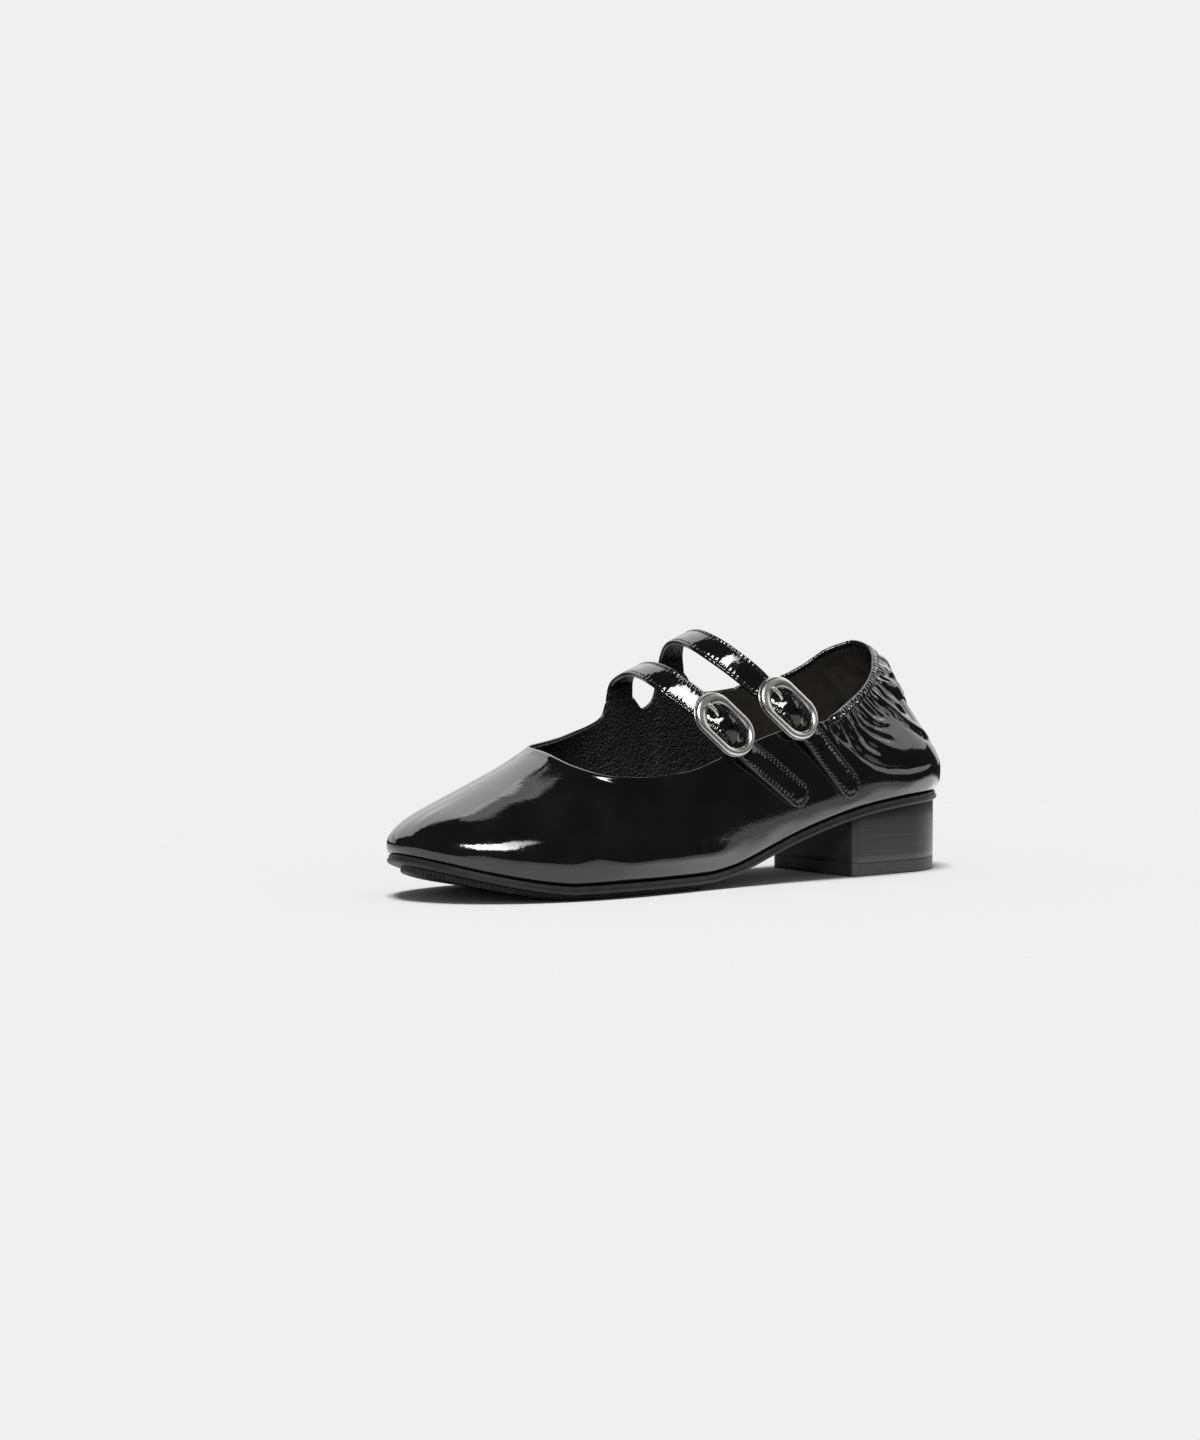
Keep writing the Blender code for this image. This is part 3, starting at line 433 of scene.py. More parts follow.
def resample(line, step, *others):
    """A line, and values that go with it, at even steps."""
    length = along_line(line)
    count = max(2, int(round(length[-1] / step)) + 1)
    return rows_at(np.linspace(0, length[-1], count), length, line, *others)


def sole_z(s):
    """Height of the outsole's lower face at s."""
    table = np.array(SOLE_LINE)
    return smooth_between(table[:, 0], table[:, 1:], s)[:, 0]


def ripple(x, y, wavelength, seed):
    """Smooth, repeatable unevenness between about -1 and 1."""
    rng = np.random.default_rng(seed)
    total = 0.0
    for _ in range(7):
        turn = rng.uniform(0, 2 * math.pi)
        size = rng.uniform(0.7, 1.5) * wavelength
        phase = rng.uniform(0, 2 * math.pi)
        total = total + np.sin(2 * math.pi * (x * math.cos(turn) + y * math.sin(turn)) / size + phase)
    return total / 3.7


# ---------------------------------------------------------------- meshes


def ring_faces(rings, count, join_ends=False):
    """Faces between rings of count points, and between the last and the first ring if join_ends."""
    r, c = np.meshgrid(np.arange(rings if join_ends else rings - 1), np.arange(count), indexing="ij")
    r2, c2 = (r + 1) % rings, (c + 1) % count
    quads = np.stack([r * count + c, r * count + c2, r2 * count + c2, r2 * count + c], -1)
    return quads.reshape(-1, 4).tolist()


def tube_faces(rings, count):
    """Faces of a closed tube with flat ends."""
    return [*ring_faces(rings, count), list(range(count)), list(range((rings - 1) * count, rings * count))]


def fan(first, count, centre):
    """Triangles from a ring of count points, numbered from first, to one point in its middle."""
    return [(first + i, first + (i + 1) % count, centre) for i in range(count)]


def sweep(line, rights, ups, shape):
    """Rings of points: at each point of the line, shape (n x 2) laid out on its right and up directions."""
    return line[:, None, :] + rights[:, None, :] * shape[..., 0:1] + ups[:, None, :] * shape[..., 1:2]


def new_object(name, data):
    obj = bpy.data.objects.new(name, data)
    bpy.context.scene.collection.objects.link(obj)
    return obj


def closed_mesh(name, points, faces, looks):
    """A closed mesh, given in the shoe's own measures, with its faces turned outwards."""
    mesh = bpy.data.meshes.new(name)
    mesh.from_pydata(to_world(points).tolist(), [], [tuple(int(i) for i in face) for face in faces])
    for look in looks:
        mesh.materials.append(look)
    work = bmesh.new()
    work.from_mesh(mesh)
    bmesh.ops.recalc_face_normals(work, faces=work.faces)
    work.to_mesh(mesh)
    work.free()
    return mesh


def make_piece(name, points, faces, looks, slot, sharp=50, replaces=None, look_of=None, values=None):
    """A piece that rides on the shoe, with a look for each face and named values for its points if given."""
    mesh = closed_mesh(name, points, faces, looks)
    if look_of is not None:
        mesh.polygons.foreach_set("material_index", np.asarray(look_of, np.int32))
    for key, numbers in (values or {}).items():
        mesh.attributes.new(key, "FLOAT", "POINT").data.foreach_set("value", np.asarray(numbers, np.float32))
    mesh.shade_smooth()
    mesh.set_sharp_from_angle(angle=math.radians(sharp))
    obj = new_object(name, mesh)
    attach(obj, "root")
    if replaces:
        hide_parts(replaces)
    shoe_pieces.append(obj)
    return obj


def tube_piece(name, rings, looks, slot, **settings):
    """A piece made of rings of points, closed by flat ends."""
    return make_piece(name, rings.reshape(-1, 3), tube_faces(*rings.shape[:2]), looks, slot, **settings)


def loop_piece(name, rings, looks, slot, **settings):
    """A piece made of rings of points, the last of which joins the first."""
    faces = ring_faces(*rings.shape[:2], join_ends=True)
    make_piece(name, rings.reshape(-1, 3), faces, looks, slot, **settings)


# ---------------------------------------------------------------- materials


def plug(socket, value):
    """Gives a socket another node's output, or else a number, colour or vector of its own."""
    if isinstance(value, bpy.types.NodeSocket):
        socket.id_data.links.new(value, socket)
    else:
        socket.default_value = value


def add_node(tree, kind, *sources, **settings):
    """A shader node. Sources go to its first sockets, settings to sockets (_ for a space) or to the node."""
    node = tree.nodes.new("ShaderNode" + kind)
    for socket, source in zip(node.inputs, sources):
        plug(socket, source)
    for key, value in settings.items():
        socket = node.inputs.get(key.replace("_", " "))
        if socket is None:
            setattr(node, key, value)
        else:
            plug(socket, value)
    return node


def compute(tree, operation, *values):
    """The result of a calculation with other nodes' outputs and numbers."""
    return add_node(tree, "Math", *values, operation=operation).outputs[0]


def own_space(tree):
    return add_node(tree, "TexCoord").outputs["Object"]


def noise(tree, scale, detail=2.0, roughness=0.5, stretch=(1, 1, 1)):
    """Noise over the object's own space. scale is in waves per metre."""
    spots = add_node(tree, "Mapping", own_space(tree), Scale=stretch).outputs["Vector"]
    return add_node(tree, "TexNoise", spots, Scale=scale, Detail=detail, Roughness=roughness).outputs["Fac"]


def spread(tree, value, low, high, at=(0.0, 1.0), kind="LINEAR"):
    """A value carried from the range at to the range from low to high."""
    node = add_node(tree, "MapRange", value, From_Min=at[0], From_Max=at[1], To_Min=low, To_Max=high)
    node.interpolation_type = kind
    return node.outputs["Result"]


def tint(tree, value, at, dark, light):
    """A colour for a value: dark up to the first place in at, and light from the second one on."""
    node = add_node(tree, "ValToRGB", value)
    for element, place, colour in zip(node.color_ramp.elements, at, (dark, light)):
        element.position = place
        element.color = (*colour, 1.0)
    return node.outputs["Color"]


def bump(tree, shader, *layers):
    """Fine relief: layers of (height, depth in metres), each on top of the last."""
    below = {}
    for height, depth in layers:
        node = add_node(tree, "Bump", Strength=1.0, Distance=depth, Height=height, **below)
        below = {"Normal": node.outputs["Normal"]}
    plug(shader.inputs["Normal"], below["Normal"])


def wave(tree, attribute, pitch):
    """Ridges across one of the mesh's named values, pitch apart."""
    value = add_node(tree, "Attribute", attribute_name=attribute).outputs["Fac"]
    sine = compute(tree, "SINE", compute(tree, "MULTIPLY", value, 2 * math.pi / pitch))
    return spread(tree, sine, 0.0, 1.0, at=(-1.0, 1.0))


def new_look(name, colour, roughness, metallic=0.0, ior=1.5):
    look = bpy.data.materials.new(name)
    look.use_nodes = True
    shader = look.node_tree.nodes["Principled BSDF"]
    shader.inputs["Base Color"].default_value = (*colour, 1.0)
    shader.inputs["Roughness"].default_value = roughness
    shader.inputs["Metallic"].default_value = metallic
    shader.inputs["IOR"].default_value = ior
    return look, look.node_tree, shader


def speckle(tree, shader, scale, detail, dark, light, at=(0.3, 0.7)):
    """Lets the colour wander between dark and light."""
    plug(shader.inputs["Base Color"], tint(tree, noise(tree, scale, detail), at, dark, light))


def patent_look():
    """Deep black gloss with a faint unevenness in what it mirrors."""
    look, tree, shader = new_look("patent_leather", (0.004, 0.004, 0.0045), 0.07, ior=1.72)
    plug(shader.inputs["Roughness"], spread(tree, noise(tree, 140.0), 0.045, 0.10, at=(0.3, 0.7)))
    speckle(tree, shader, 60.0, 2.0, (0.003, 0.003, 0.0034), (0.0055, 0.0054, 0.0058), at=(0.35, 0.65))
    bump(tree, shader, (noise(tree, 190.0, 1.0), 0.00005), (noise(tree, 1000.0, 2.0), 0.000028))
    return look


def grained_look(name, dark, light, grain, depth, roughness, sheen=0.0):
    """Leather or suede with a fine grain, grain cells per metre and depth metres deep."""
    look, tree, shader = new_look(name, dark, roughness)
    speckle(tree, shader, grain * 0.12, 3.0, dark, light)
    shader.inputs["Sheen Weight"].default_value = sheen
    shader.inputs["Sheen Roughness"].default_value = 0.4
    cells = add_node(tree, "TexVoronoi", own_space(tree), Scale=grain, feature="SMOOTH_F1")
    bump(tree, shader, (cells.outputs["Distance"], depth), (noise(tree, grain * 2.2, 3.0), depth * 0.5))
    return look


def rubber_look(name, dark, light):
    look, tree, shader = new_look(name, light, 0.5)
    shader.inputs["Specular IOR Level"].default_value = 0.35
    speckle(tree, shader, 300.0, 4.0, dark, light)
    plug(shader.inputs["Roughness"], spread(tree, noise(tree, 220.0, 3.0), 0.42, 0.58))
    bump(tree, shader, (noise(tree, 1600.0, 3.0), 0.00002))
    return look


def stack_look():
    """Stacked leather: thin dark joints between layers, with fine scratches along them."""
    look, tree, shader = new_look("stacked_heel", (0.015, 0.0145, 0.0145), 0.4)
    shader.inputs["Specular IOR Level"].default_value = 0.42
    streaks = noise(tree, 500.0, 4.0, 0.6, stretch=(0.06, 0.06, 2.4))
    layers = noise(tree, 120.0, 1.0, 0.5, stretch=(0.02, 0.02, 2.6))
    shade = spread(tree, compute(tree, "ADD", streaks, layers), 0.0, 1.0, at=(0.7, 1.3))
    colour = tint(tree, shade, (0.2, 0.8), (0.010, 0.0097, 0.0098), (0.019, 0.0184, 0.0184))
    plug(shader.inputs["Base Color"], colour)
    plug(shader.inputs["Roughness"], spread(tree, streaks, 0.37, 0.45))
    bump(tree, shader, (streaks, 0.000010), (layers, 0.000008))
    return look


def shaded_breast_look():
    """The heel's front face: a duller, darker copy of the heel's own finish, without its layer lines, that
    paints the shade falling on the breast.
    """
    look, tree, shader = new_look("heel_breast_painted_shade", (0.012, 0.0115, 0.0115), 0.6)
    shader.inputs["Specular IOR Level"].default_value = 0.14
    bump(tree, shader, (noise(tree, 900.0, 3.0), 0.00001))
    return look


def nickel_look():
    """Satin nickel, lightly brushed."""
    look, tree, shader = new_look("buckle_metal", (0.56, 0.54, 0.505), 0.28, metallic=1.0)
    brushed = noise(tree, 900.0, 3.0, 0.6, stretch=(1.0, 1.0, 0.12))
    plug(shader.inputs["Roughness"], spread(tree, brushed, 0.24, 0.31))
    speckle(tree, shader, 220.0, 3.0, (0.53, 0.511, 0.479), (0.585, 0.566, 0.532))
    bump(tree, shader, (brushed, 0.0000012))
    return look


def elastic_look():
    """Ribs along the band with finer threads across them, and painted shade in the valleys between the ribs.
    """
    look, tree, shader = new_look("elastic", (0.012, 0.012, 0.012), 0.75)
    shader.inputs["Sheen Weight"].default_value = 0.25
    ribs = wave(tree, "across", RIB)
    weft = wave(tree, "along", WEFT)
    # Painted shade: the colour is darkest in the valleys between the ribs and lightest on their tops.
    colour = tint(tree, ribs, (0.0, 1.0), (0.004, 0.004, 0.004), (0.022, 0.022, 0.022))
    plug(shader.inputs["Base Color"], colour)
    bump(tree, shader, (ribs, 0.0002), (weft, 0.00006))
    return look


def thread_look():
    look, tree, shader = new_look("thread", (0.006, 0.006, 0.006), 0.55)
    speckle(tree, shader, 2500.0, 2.0, (0.004, 0.004, 0.004), (0.010, 0.010, 0.010))
    bump(tree, shader, (noise(tree, 4000.0, 2.0), 0.00003))
    return look


# ---------------------------------------------------------------- the outsole's edge


def edge_sides():
    """The outsole's edge from heel to toe on each side, with the share of the length at each point."""
    lateral = [(s, out) for s, out, _ in EDGE]
    medial = [(s, -out) for s, _, out in reversed(EDGE)]
    steps = 16
    ring = round_curve([HEEL_TIP, *lateral, TOE_TIP, *medial], steps, closed=True)
    toe = steps * (len(lateral) + 1)
    lines = {"lateral": ring[: toe + 1], "medial": np.vstack([ring[toe:], ring[:1]])[::-1]}
    lengths = {side: along_line(line) for side, line in lines.items()}
    return {side: (line, lengths[side] / lengths[side][-1]) for side, line in lines.items()}


SIDES = edge_sides()


def share_at(side, s):
    line, share = SIDES[side]
    return float(np.interp(s, line[:, 0], share))


def edge_spot(turn):
    """Places on the outsole's edge. turn runs from 0 at the heel to 1 at the toe and back to 2."""
    turn = np.mod(turn, 2)
    lateral = turn <= 1
    share = np.where(lateral, turn, 2 - turn)
    (left, left_share), (right, right_share) = SIDES["lateral"], SIDES["medial"]
    on_left, on_right = rows_at(share, left_share, left)[0], rows_at(share, right_share, right)[0]
    return np.where(lateral[:, None], on_left, on_right)


def edge_at(turn):
    """Places on the outsole's edge, and the outward directions there."""
    turn = np.asarray(turn, float)
    along = edge_spot(turn + 0.012) - edge_spot(turn - 0.012)
    return edge_spot(turn), unit(np.column_stack([-along[:, 1], along[:, 0]]))


# ---------------------------------------------------------------- the upper's outer face


def section_values(turns):
    """Topline place, slope, reach, rise and lean at each turn."""
    spots, table = [], []
    for side, rows in SECTIONS.items():
        for foot, *values in rows:
            share = 1.0 if foot >= TOE_TIP[0] else (share_at(side, foot) if foot > 0 else 0.0)
            spots.append(share if side == "lateral" else 2 - share)
            table.append(values)
    spots = [t - 2 for t in spots[-3:]] + spots + [t + 2 for t in spots[:3]]
    table = table[-3:] + table + table[:3]
    return smooth_between(spots, table, turns)


def outer_face(turns, heights):
    """The upper's plain outer face: a row of points for each height, one for each turn.

    Heights run from 0 on the sole to 1 at the topline, and down to -1 where the leather is tucked under.
    """
    foot, outward = edge_at(turns)
    values = section_values(turns)
    top = values[:, :3]
    slope = np.radians(values[:, 3])
    reach, rise, lean_out = values[:, 4:5], values[:, 5], values[:, 6:7]
    tucked = foot - outward * TUCK
    tucked_z = sole_z(tucked[:, 0]) + EDGE_THICK + SEAT
    stand_z = sole_z(foot[:, 0]) + EDGE_THICK + SEAT + ROLL
    stand = np.column_stack([foot, stand_z])
    away = unit((foot - top[:, :2]) + outward * 10.0)
    leave = np.column_stack([away * np.cos(slope)[:, None], -np.sin(slope)])
    lean = stand + np.column_stack([outward * lean_out, rise])
    turn_in = top + leave * reach
    rows = []
    for h in heights:
        if h < 0:
            quarter = (1 + h) * math.pi / 2
            flat = tucked + (foot - tucked) * math.sin(quarter)
            rows.append(np.column_stack([flat, tucked_z + (stand_z - tucked_z) * (1 - math.cos(quarter))]))
        else:
            lower = stand * (1 - h) ** 3 + lean * 3 * h * (1 - h) ** 2
            rows.append(lower + turn_in * 3 * h**2 * (1 - h) + top * h**3)
    return np.array(rows)


def face_normals(grid):
    up = np.gradient(grid, axis=0)
    along = np.roll(grid, -1, axis=1) - np.roll(grid, 1, axis=1)
    return unit(np.cross(up, along))


def topline_places(fine, coarse, heel_reach):
    """Turns of the upper's columns, in fine steps round the heel and coarse ones elsewhere, each with its u.

    u is the distance round the topline from the back of the heel, positive on the lateral side.
    """
    turns = np.linspace(0, 2, 4001)
    foot = outer_face(turns, (0.1,))[0]
    round_top = along_line(outer_face(turns, (1.0,))[0])
    total = round_top[-1]

    def from_heel(distance):
        return np.where(distance > total / 2, distance - total, distance)

    near = smoothstep(heel_reach + 12, heel_reach, np.abs(from_heel(round_top)))
    density = near / fine + (1 - near) / coarse
    mixed = (along_line(foot) + round_top) / 2
    steps = np.concatenate([[0], np.cumsum((density[1:] + density[:-1]) / 2 * np.diff(mixed))])
    count = int(steps[-1])
    chosen = np.interp(np.arange(count) / count * steps[-1], steps, turns)
    return chosen, from_heel(np.interp(chosen, turns, round_top))


# ---------------------------------------------------------------- the upper's relief
# u is the distance round the topline from the back of the heel, v the distance down from the topline.


def pleat_layer(place, seed, edges, power):
    """Pleats between edges, round on top and sharp between, and how far down each one reaches."""
    rng = np.random.default_rng(seed)
    strength = rng.uniform(0.45, 1.25, len(edges) + 1)
    reach = rng.uniform(0.65, 1.35, len(edges) + 1)
    k = np.clip(np.searchsorted(edges, place), 1, len(edges) - 1)
    x = (place - edges[k - 1]) / (edges[k] - edges[k - 1])
    return (1 - np.abs(2 * x - 1) ** power) * strength[k], reach[k]


def gathers(u, v):
    """Fine pleats at the elastic binding that run together into folds further down."""
    rng = np.random.default_rng(7)
    fine = -78 + np.cumsum(rng.uniform(1.35, 2.35, 84))
    middle = fine[::2]
    keep = np.cumsum(rng.integers(2, 4, 40))
    wide = middle[keep[keep < len(middle)]]
    lean = np.tanh(u / 16.0) * (0.10 * v + 0.016 * v**2)
    place = u + lean + 0.5 * ripple(u, v * 0.7, 13.0, 3)
    small, small_reach = pleat_layer(place, 11, fine, 1.7)
    mid, mid_reach = pleat_layer(place + 0.6 * ripple(u, v, 9.0, 5), 12, middle, 1.6)
    big, big_reach = pleat_layer(place + 1.0 * ripple(u, v, 17.0, 6), 13, wide, 1.8)
    flank = smoothstep(24, 33, u) * smoothstep(66, 54, u)
    small = small * hill(v, (5.0 + 8.0 * flank) * small_reach) * smoothstep(0.0, 1.0, v)
    mid = mid * smoothstep(1.0, 5.0, v) * smoothstep(15.0 * mid_reach, 7.0 * mid_reach, v)
    big = big * smoothstep(4.0, 11.0, v) * smoothstep(30.0 * big_reach, 15.0 * big_reach, v)
    total = (0.42 + 0.16 * flank) * small + (0.62 - 0.1 * flank) * mid + (0.8 - 0.3 * flank) * big
    here = smoothstep(67, 56, u) * smoothstep(-72, -58, u)
    calm = 1 - 0.9 * smoothstep(32, 24, u) * smoothstep(-12, -4, u) * smoothstep(4.0, 9.0, v)
    return total * here * calm


def crease_relief(points, side, depth, width, ridge, ridge_up, path):
    """One crease: a narrow trough along the path with a soft ridge beside it."""
    path = round_curve(path, 10)
    if side == "back":
        flat = points[:, [1, 2]]
        facing = points[:, 0] <= 26
    else:
        flat = points[:, [0, 2]]
        facing = (points[:, 1] >= 0) if side == "lateral" else (points[:, 1] <= -2)
    low, high = path.min(0) - 8, path.max(0) + 8
    near = facing & (flat > low).all(1) & (flat < high).all(1)
    relief = np.zeros(len(points))
    if not near.any():
        return relief
    away = flat[near][:, None, :] - path[None, :, :]
    distance = np.linalg.norm(away, axis=2)
    nearest = distance.argmin(1)
    rows = np.arange(len(away))
    tangent = unit(np.gradient(path, axis=0))[nearest]
    offset = away[rows, nearest]
    above = tangent[:, 0] * offset[:, 1] - tangent[:, 1] * offset[:, 0]
    if (side != "back") == ridge_up:
        above = -above
    shift = np.sign(above) * distance[rows, nearest]
    share = nearest / (len(path) - 1)
    taper = smoothstep(0.0, 0.22, share) * smoothstep(1.0, 0.7, share)
    relief[near] = (ridge * hill(shift - 2.0 * width, 1.5 * width) - depth * hill(shift, width)) * taper
    return relief


def counter_relief(u, v, z):
    """The soft heel over the stiff counter: a pillow above the counter's line, a pinch on it, a lip below."""
    table = np.array(COUNTER_LINE)
    over = z - np.interp(u, table[:, 0], table[:, 1])
    beside = smoothstep(6.0, 24.0, np.abs(u))
    centred = 1 - beside
    pillow = (0.5 + 0.9 * beside) * smoothstep(-1.5, 9.0, over) * smoothstep(28.0, 9.0, over)
    pinch = 0.25 * hill(over + 0.3, 1.1) * beside
    below_lip = over + 3.2 + 0.8 * centred
    lip = (0.42 + 0.7 * centred) * hill(below_lip, np.where(below_lip > 0, 2.1 + 2.9 * centred, 8.0))
    here = smoothstep(66, 52, u) * smoothstep(-80, -48, u)
    puff = 2.2 * smoothstep(1.5, 8.5, v) * smoothstep(24.0, 11.0, v) * smoothstep(44.0, 14.0, np.abs(u - 2.0))
    shelf = 1.1 * hill(z - 44.5, 6.0) * smoothstep(27, 16, u) * smoothstep(-14, 2, u)
    return (pillow - pinch + lip) * here + puff + shelf


def vamp_relief(s, out, above):
    """The vamp's swell and low roll above the sole on the lateral side, and a trough beside the throat."""
    swell_at = 6.5 + 7.0 * smoothstep(165, 198, s) + 1.6 * smoothstep(226, 196, s) * smoothstep(160, 195, s)
    swell = (0.5 + 0.5 * smoothstep(150, 190, s)) * hill(above - swell_at, 4.0 + smoothstep(145, 190, s))
    swell = swell * smoothstep(110, 128, s) * smoothstep(248, 224, s)
    low_roll = 0.6 * smoothstep(180, 196, s) * smoothstep(242, 216, s) * hill(above - 8.2, 3.0)
    trough = 0.68 * smoothstep(208.0, 193.0, s) * smoothstep(176.0, 183.0, s) * hill(out - 16.0, 6.8)
    return (swell + low_roll) * (out > 0) - trough


def upper_relief(points, u, v, above):
    """How far the leather stands out from the plain face. above is the height above its tucked edge."""
    s, out, z = (points[..., k] for k in range(3))
    total = gathers(u, v) + counter_relief(u, v, z) + vamp_relief(s, out, above)
    for side, creases in CREASES.items():
        for crease in creases:
            total = total + crease_relief(points.reshape(-1, 3), side, *crease).reshape(u.shape)
    throat = smoothstep(118, 150, np.abs(u)) * (u > 0)
    throat_fold = 0.34 * throat * hill(v - 1.3, 1.1) * smoothstep(0.0, 0.8, v)
    back_seam = 0.35 * hill(u, 0.55) * smoothstep(0, 4, v)
    lasting = 0.22 * ripple(s, out, 26.0, 21) * smoothstep(9, 1, above)
    return total + throat_fold - back_seam + lasting + 0.10 * ripple(s, z + out, 34.0, 22)


# ---------------------------------------------------------------- the upper's pieces


# Heights of the rows of points: below 0 on the tucked edge, 1 at the topline, and closest together near it.
HEIGHTS = np.concatenate(
    [
        [-1.0, -0.66, -0.33],
        np.linspace(0.0, 0.1, 7)[:-1],
        np.linspace(0.1, 0.86, 58)[:-1],
        np.linspace(0.86, 0.988, 20),
        [1.0],
    ]
)


def row_at(height):
    """The number of the row of points nearest to a height."""
    return int(np.abs(HEIGHTS - height).argmin())


def relief_rows(plain, u):
    """How far each point of the plain face is raised. The tucked edge stays flat."""
    steps = np.linalg.norm(np.diff(plain[::-1], axis=0), axis=2)
    v = np.concatenate([np.cumsum(steps, axis=0)[::-1], np.zeros((1, len(u)))])
    relief = upper_relief(plain, np.broadcast_to(u, v.shape), v, plain[..., 2] - plain[0, :, 2])
    return relief * ((HEIGHTS >= 0) * smoothstep(-0.02, 0.05, HEIGHTS))[:, None]


def leather_rings(turns, plain, raised, normals, edge_up):
    """The leather: its outer face rounds over at the topline and comes down the inside to the tucked edge."""
    edge_out = normals[-1]
    middle = raised[-1] - edge_out * EDGE_ROUND - edge_up * EDGE_ROUND
    rolled = [
        middle + edge_out * EDGE_ROUND * math.cos(a) + edge_up * EDGE_ROUND * math.sin(a)
        for a in np.radians((22, 45, 67, 90, 113, 135, 158))
    ]
    inside = [raised[k] - normals[k] * LEATHER for k in map(row_at, (0.985, 0.9, 0.7, 0.45, 0.2, 0.05))]
    foot, outward = edge_at(turns)
    under = [
        np.column_stack([foot - outward * inset, plain[0, :, 2] + lift])
        for inset, lift in ((TUCK + 0.9, LEATHER), (TUCK + 1.2, 0.0))
    ]
    return np.array([*raised[:-1], *rolled, *inside, *under])


def lining_rings(plain, raised, normals, relief, edge_up):
    """The lining, which lies inside the leather and stops just under its fold."""
    outer, inner = [], []
    for k in map(row_at, np.linspace(0.02, 0.985, 44)):
        outer.append(raised[k] - normals[k] * (LEATHER + 0.06))
        inner.append(plain[k] - normals[k] * (WALL - 0.55 * relief[k])[:, None])
    crown = (outer[-1] + inner[-1]) / 2 + edge_up * 0.25
    return np.array([*outer, crown, *inner[::-1]])


def upper_pieces(patent, lining, suede):
    """The leather with its folded topline, and the lining. Returns u, the topline and its directions."""
    turns, u = topline_places(fine=0.40, coarse=1.25, heel_reach=70.0)
    plain = outer_face(turns, HEIGHTS)
    normals = face_normals(plain)
    relief = relief_rows(plain, u)
    raised = plain + normals * relief[..., None]
    edge_up = unit(raised[-1] - raised[-4])
    rings = leather_rings(turns, plain, raised, normals, edge_up)
    loop_piece("upper_leather", rings, [patent], "patent_leather", sharp=80, replaces="upper")
    # The lining has half as many columns, and is suede round the heel.
    rings = lining_rings(plain, raised, normals, relief, edge_up)[:, ::2]
    in_heel = smoothstep(70, 62, u[::2]) * smoothstep(-74, -66, u[::2]) > 0.5
    look_of = np.tile(in_heel.astype(int), len(rings))
    loop_piece("upper_lining", rings, [lining, suede], "lining_leather", look_of=look_of)
    return u, raised[-1], normals[-1], edge_up


def collar_binding(u, line, squares, ups, look):
    """The narrow elastic binding that is folded over the heel's edge, puckered by its own pull."""
    order = np.argsort(u)
    order = order[(u[order] > -66) & (u[order] < 62)]
    line, squares, ups, u = resample(line[order], 0.3, squares[order], ups[order], u[order][:, None])
    squares, ups = unit(squares), unit(ups)
    line = line - squares * 0.9 - ups * 0.9
    fade = smoothstep(-66, -60, u) * smoothstep(62, 56, u)
    turns = np.linspace(0, 2 * math.pi, 24, endpoint=False)
    pucker = 0.10 * np.sin(2 * math.pi * (u + 0.4 * ripple(u, 0.0, 7.0, 30)) / 1.7)
    crinkle = 0.13 * ripple(u, 1.6 * turns, 1.8, 31) + 0.06 * ripple(u, 1.6 * turns, 0.9, 32)
    rough = (pucker + crinkle) * (np.cos(turns) * 0.35 + 0.65)
    wide = (0.85 + rough + 0.3 * fade) * np.cos(turns)
    tall = (1.5 + 0.5 * rough + 0.35 * fade) * np.sin(turns) - 0.1
    shape = np.stack([wide, tall], -1) * smoothstep(-0.2, 1.0, fade)[..., None]
    tube_piece("collar_binding", sweep(line, squares, ups, shape), [look], "patent_leather", sharp=80)


# ---------------------------------------------------------------- stitches


def stitch_piece(name, line, ups, look):
    """A row of stitches, one at each point of a line on a surface that faces ups."""
    ways = unit(np.gradient(line, axis=0))
    ups = unit(ups - ways * (ups * ways).sum(1, keepdims=True))
    sides = np.cross(ways, ups)
    turns = np.linspace(0, 2 * math.pi, 6, endpoint=False)
    half = STITCH_PITCH * 0.40
    points, faces = [], []
    for centre, way, up, side in zip(line, ways, ups, sides):
        faces.extend([i + len(points) for i in face] for face in tube_faces(len(STITCH_SHAPE), len(turns)))
        for at, share, lift in STITCH_SHAPE:
            middle = centre + way * at * half + up * (lift - STITCH_SINK)
            points.extend(
                middle + (side * math.cos(a) + up * math.sin(a)) * STITCH_RADIUS * share for a in turns
            )
    make_piece(name, np.array(points), faces, [look], "thread", sharp=80)


# ---------------------------------------------------------------- where the straps and elastics run


def buckle_axes(spec):
    """A buckle's own directions: down the strap, across it and away from the foot."""
    along = unit(spec["points"])
    faces = np.asarray(spec["faces"], float)
    faces = unit(faces - along * faces.dot(along))
    return along, unit(np.cross(faces, along)), faces


def bulge(a):
    """How far the strap's middle lies from the buckle's middle plane, a from its bar down the strap."""
    low = -(BUCKLE_THICK / 2 + 0.55 + STRAP_THICK / 2)
    high = -BAR_DROP + BAR_RADIUS + 0.8 + STRAP_THICK / 2
    reach = BUCKLE_LONG / 2 - (BUCKLE_HEAD + 1.0 if a < 0 else BUCKLE_SIDE + 2.1)
    if abs(a) >= reach:
        return low
    return low + (high - low) * math.cos(math.pi * a / (2 * reach)) ** 1.1


def upper_tree():
    """The solid upper, to look up places on it."""
    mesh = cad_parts["upper"].data
    points = [v.co.copy() for v in mesh.vertices]
    return BVHTree.FromPolygons(points, [tuple(p.vertices) for p in mesh.polygons])


def quarter_point(tree, s, z):
    """The place on the lateral quarter at s and z."""
    start = Vector(to_world((s, 90.0, z))[0])
    hit = tree.ray_cast(start, Vector((0.0, 1.0, 0.0)))[0]
    return np.array([s, ORIGIN_OUT - hit.y / MM, z])


def on_quarter(tree, s, z, rise):
    """The same place with the outward direction there."""
    place = quarter_point(tree, s, z)
    along = quarter_point(tree, s + 4.0, z) - quarter_point(tree, s - 4.0, z)
    square = unit(np.cross(along, quarter_point(tree, s, z + rise) - place))
    return place, square if square[1] > 0 else -square


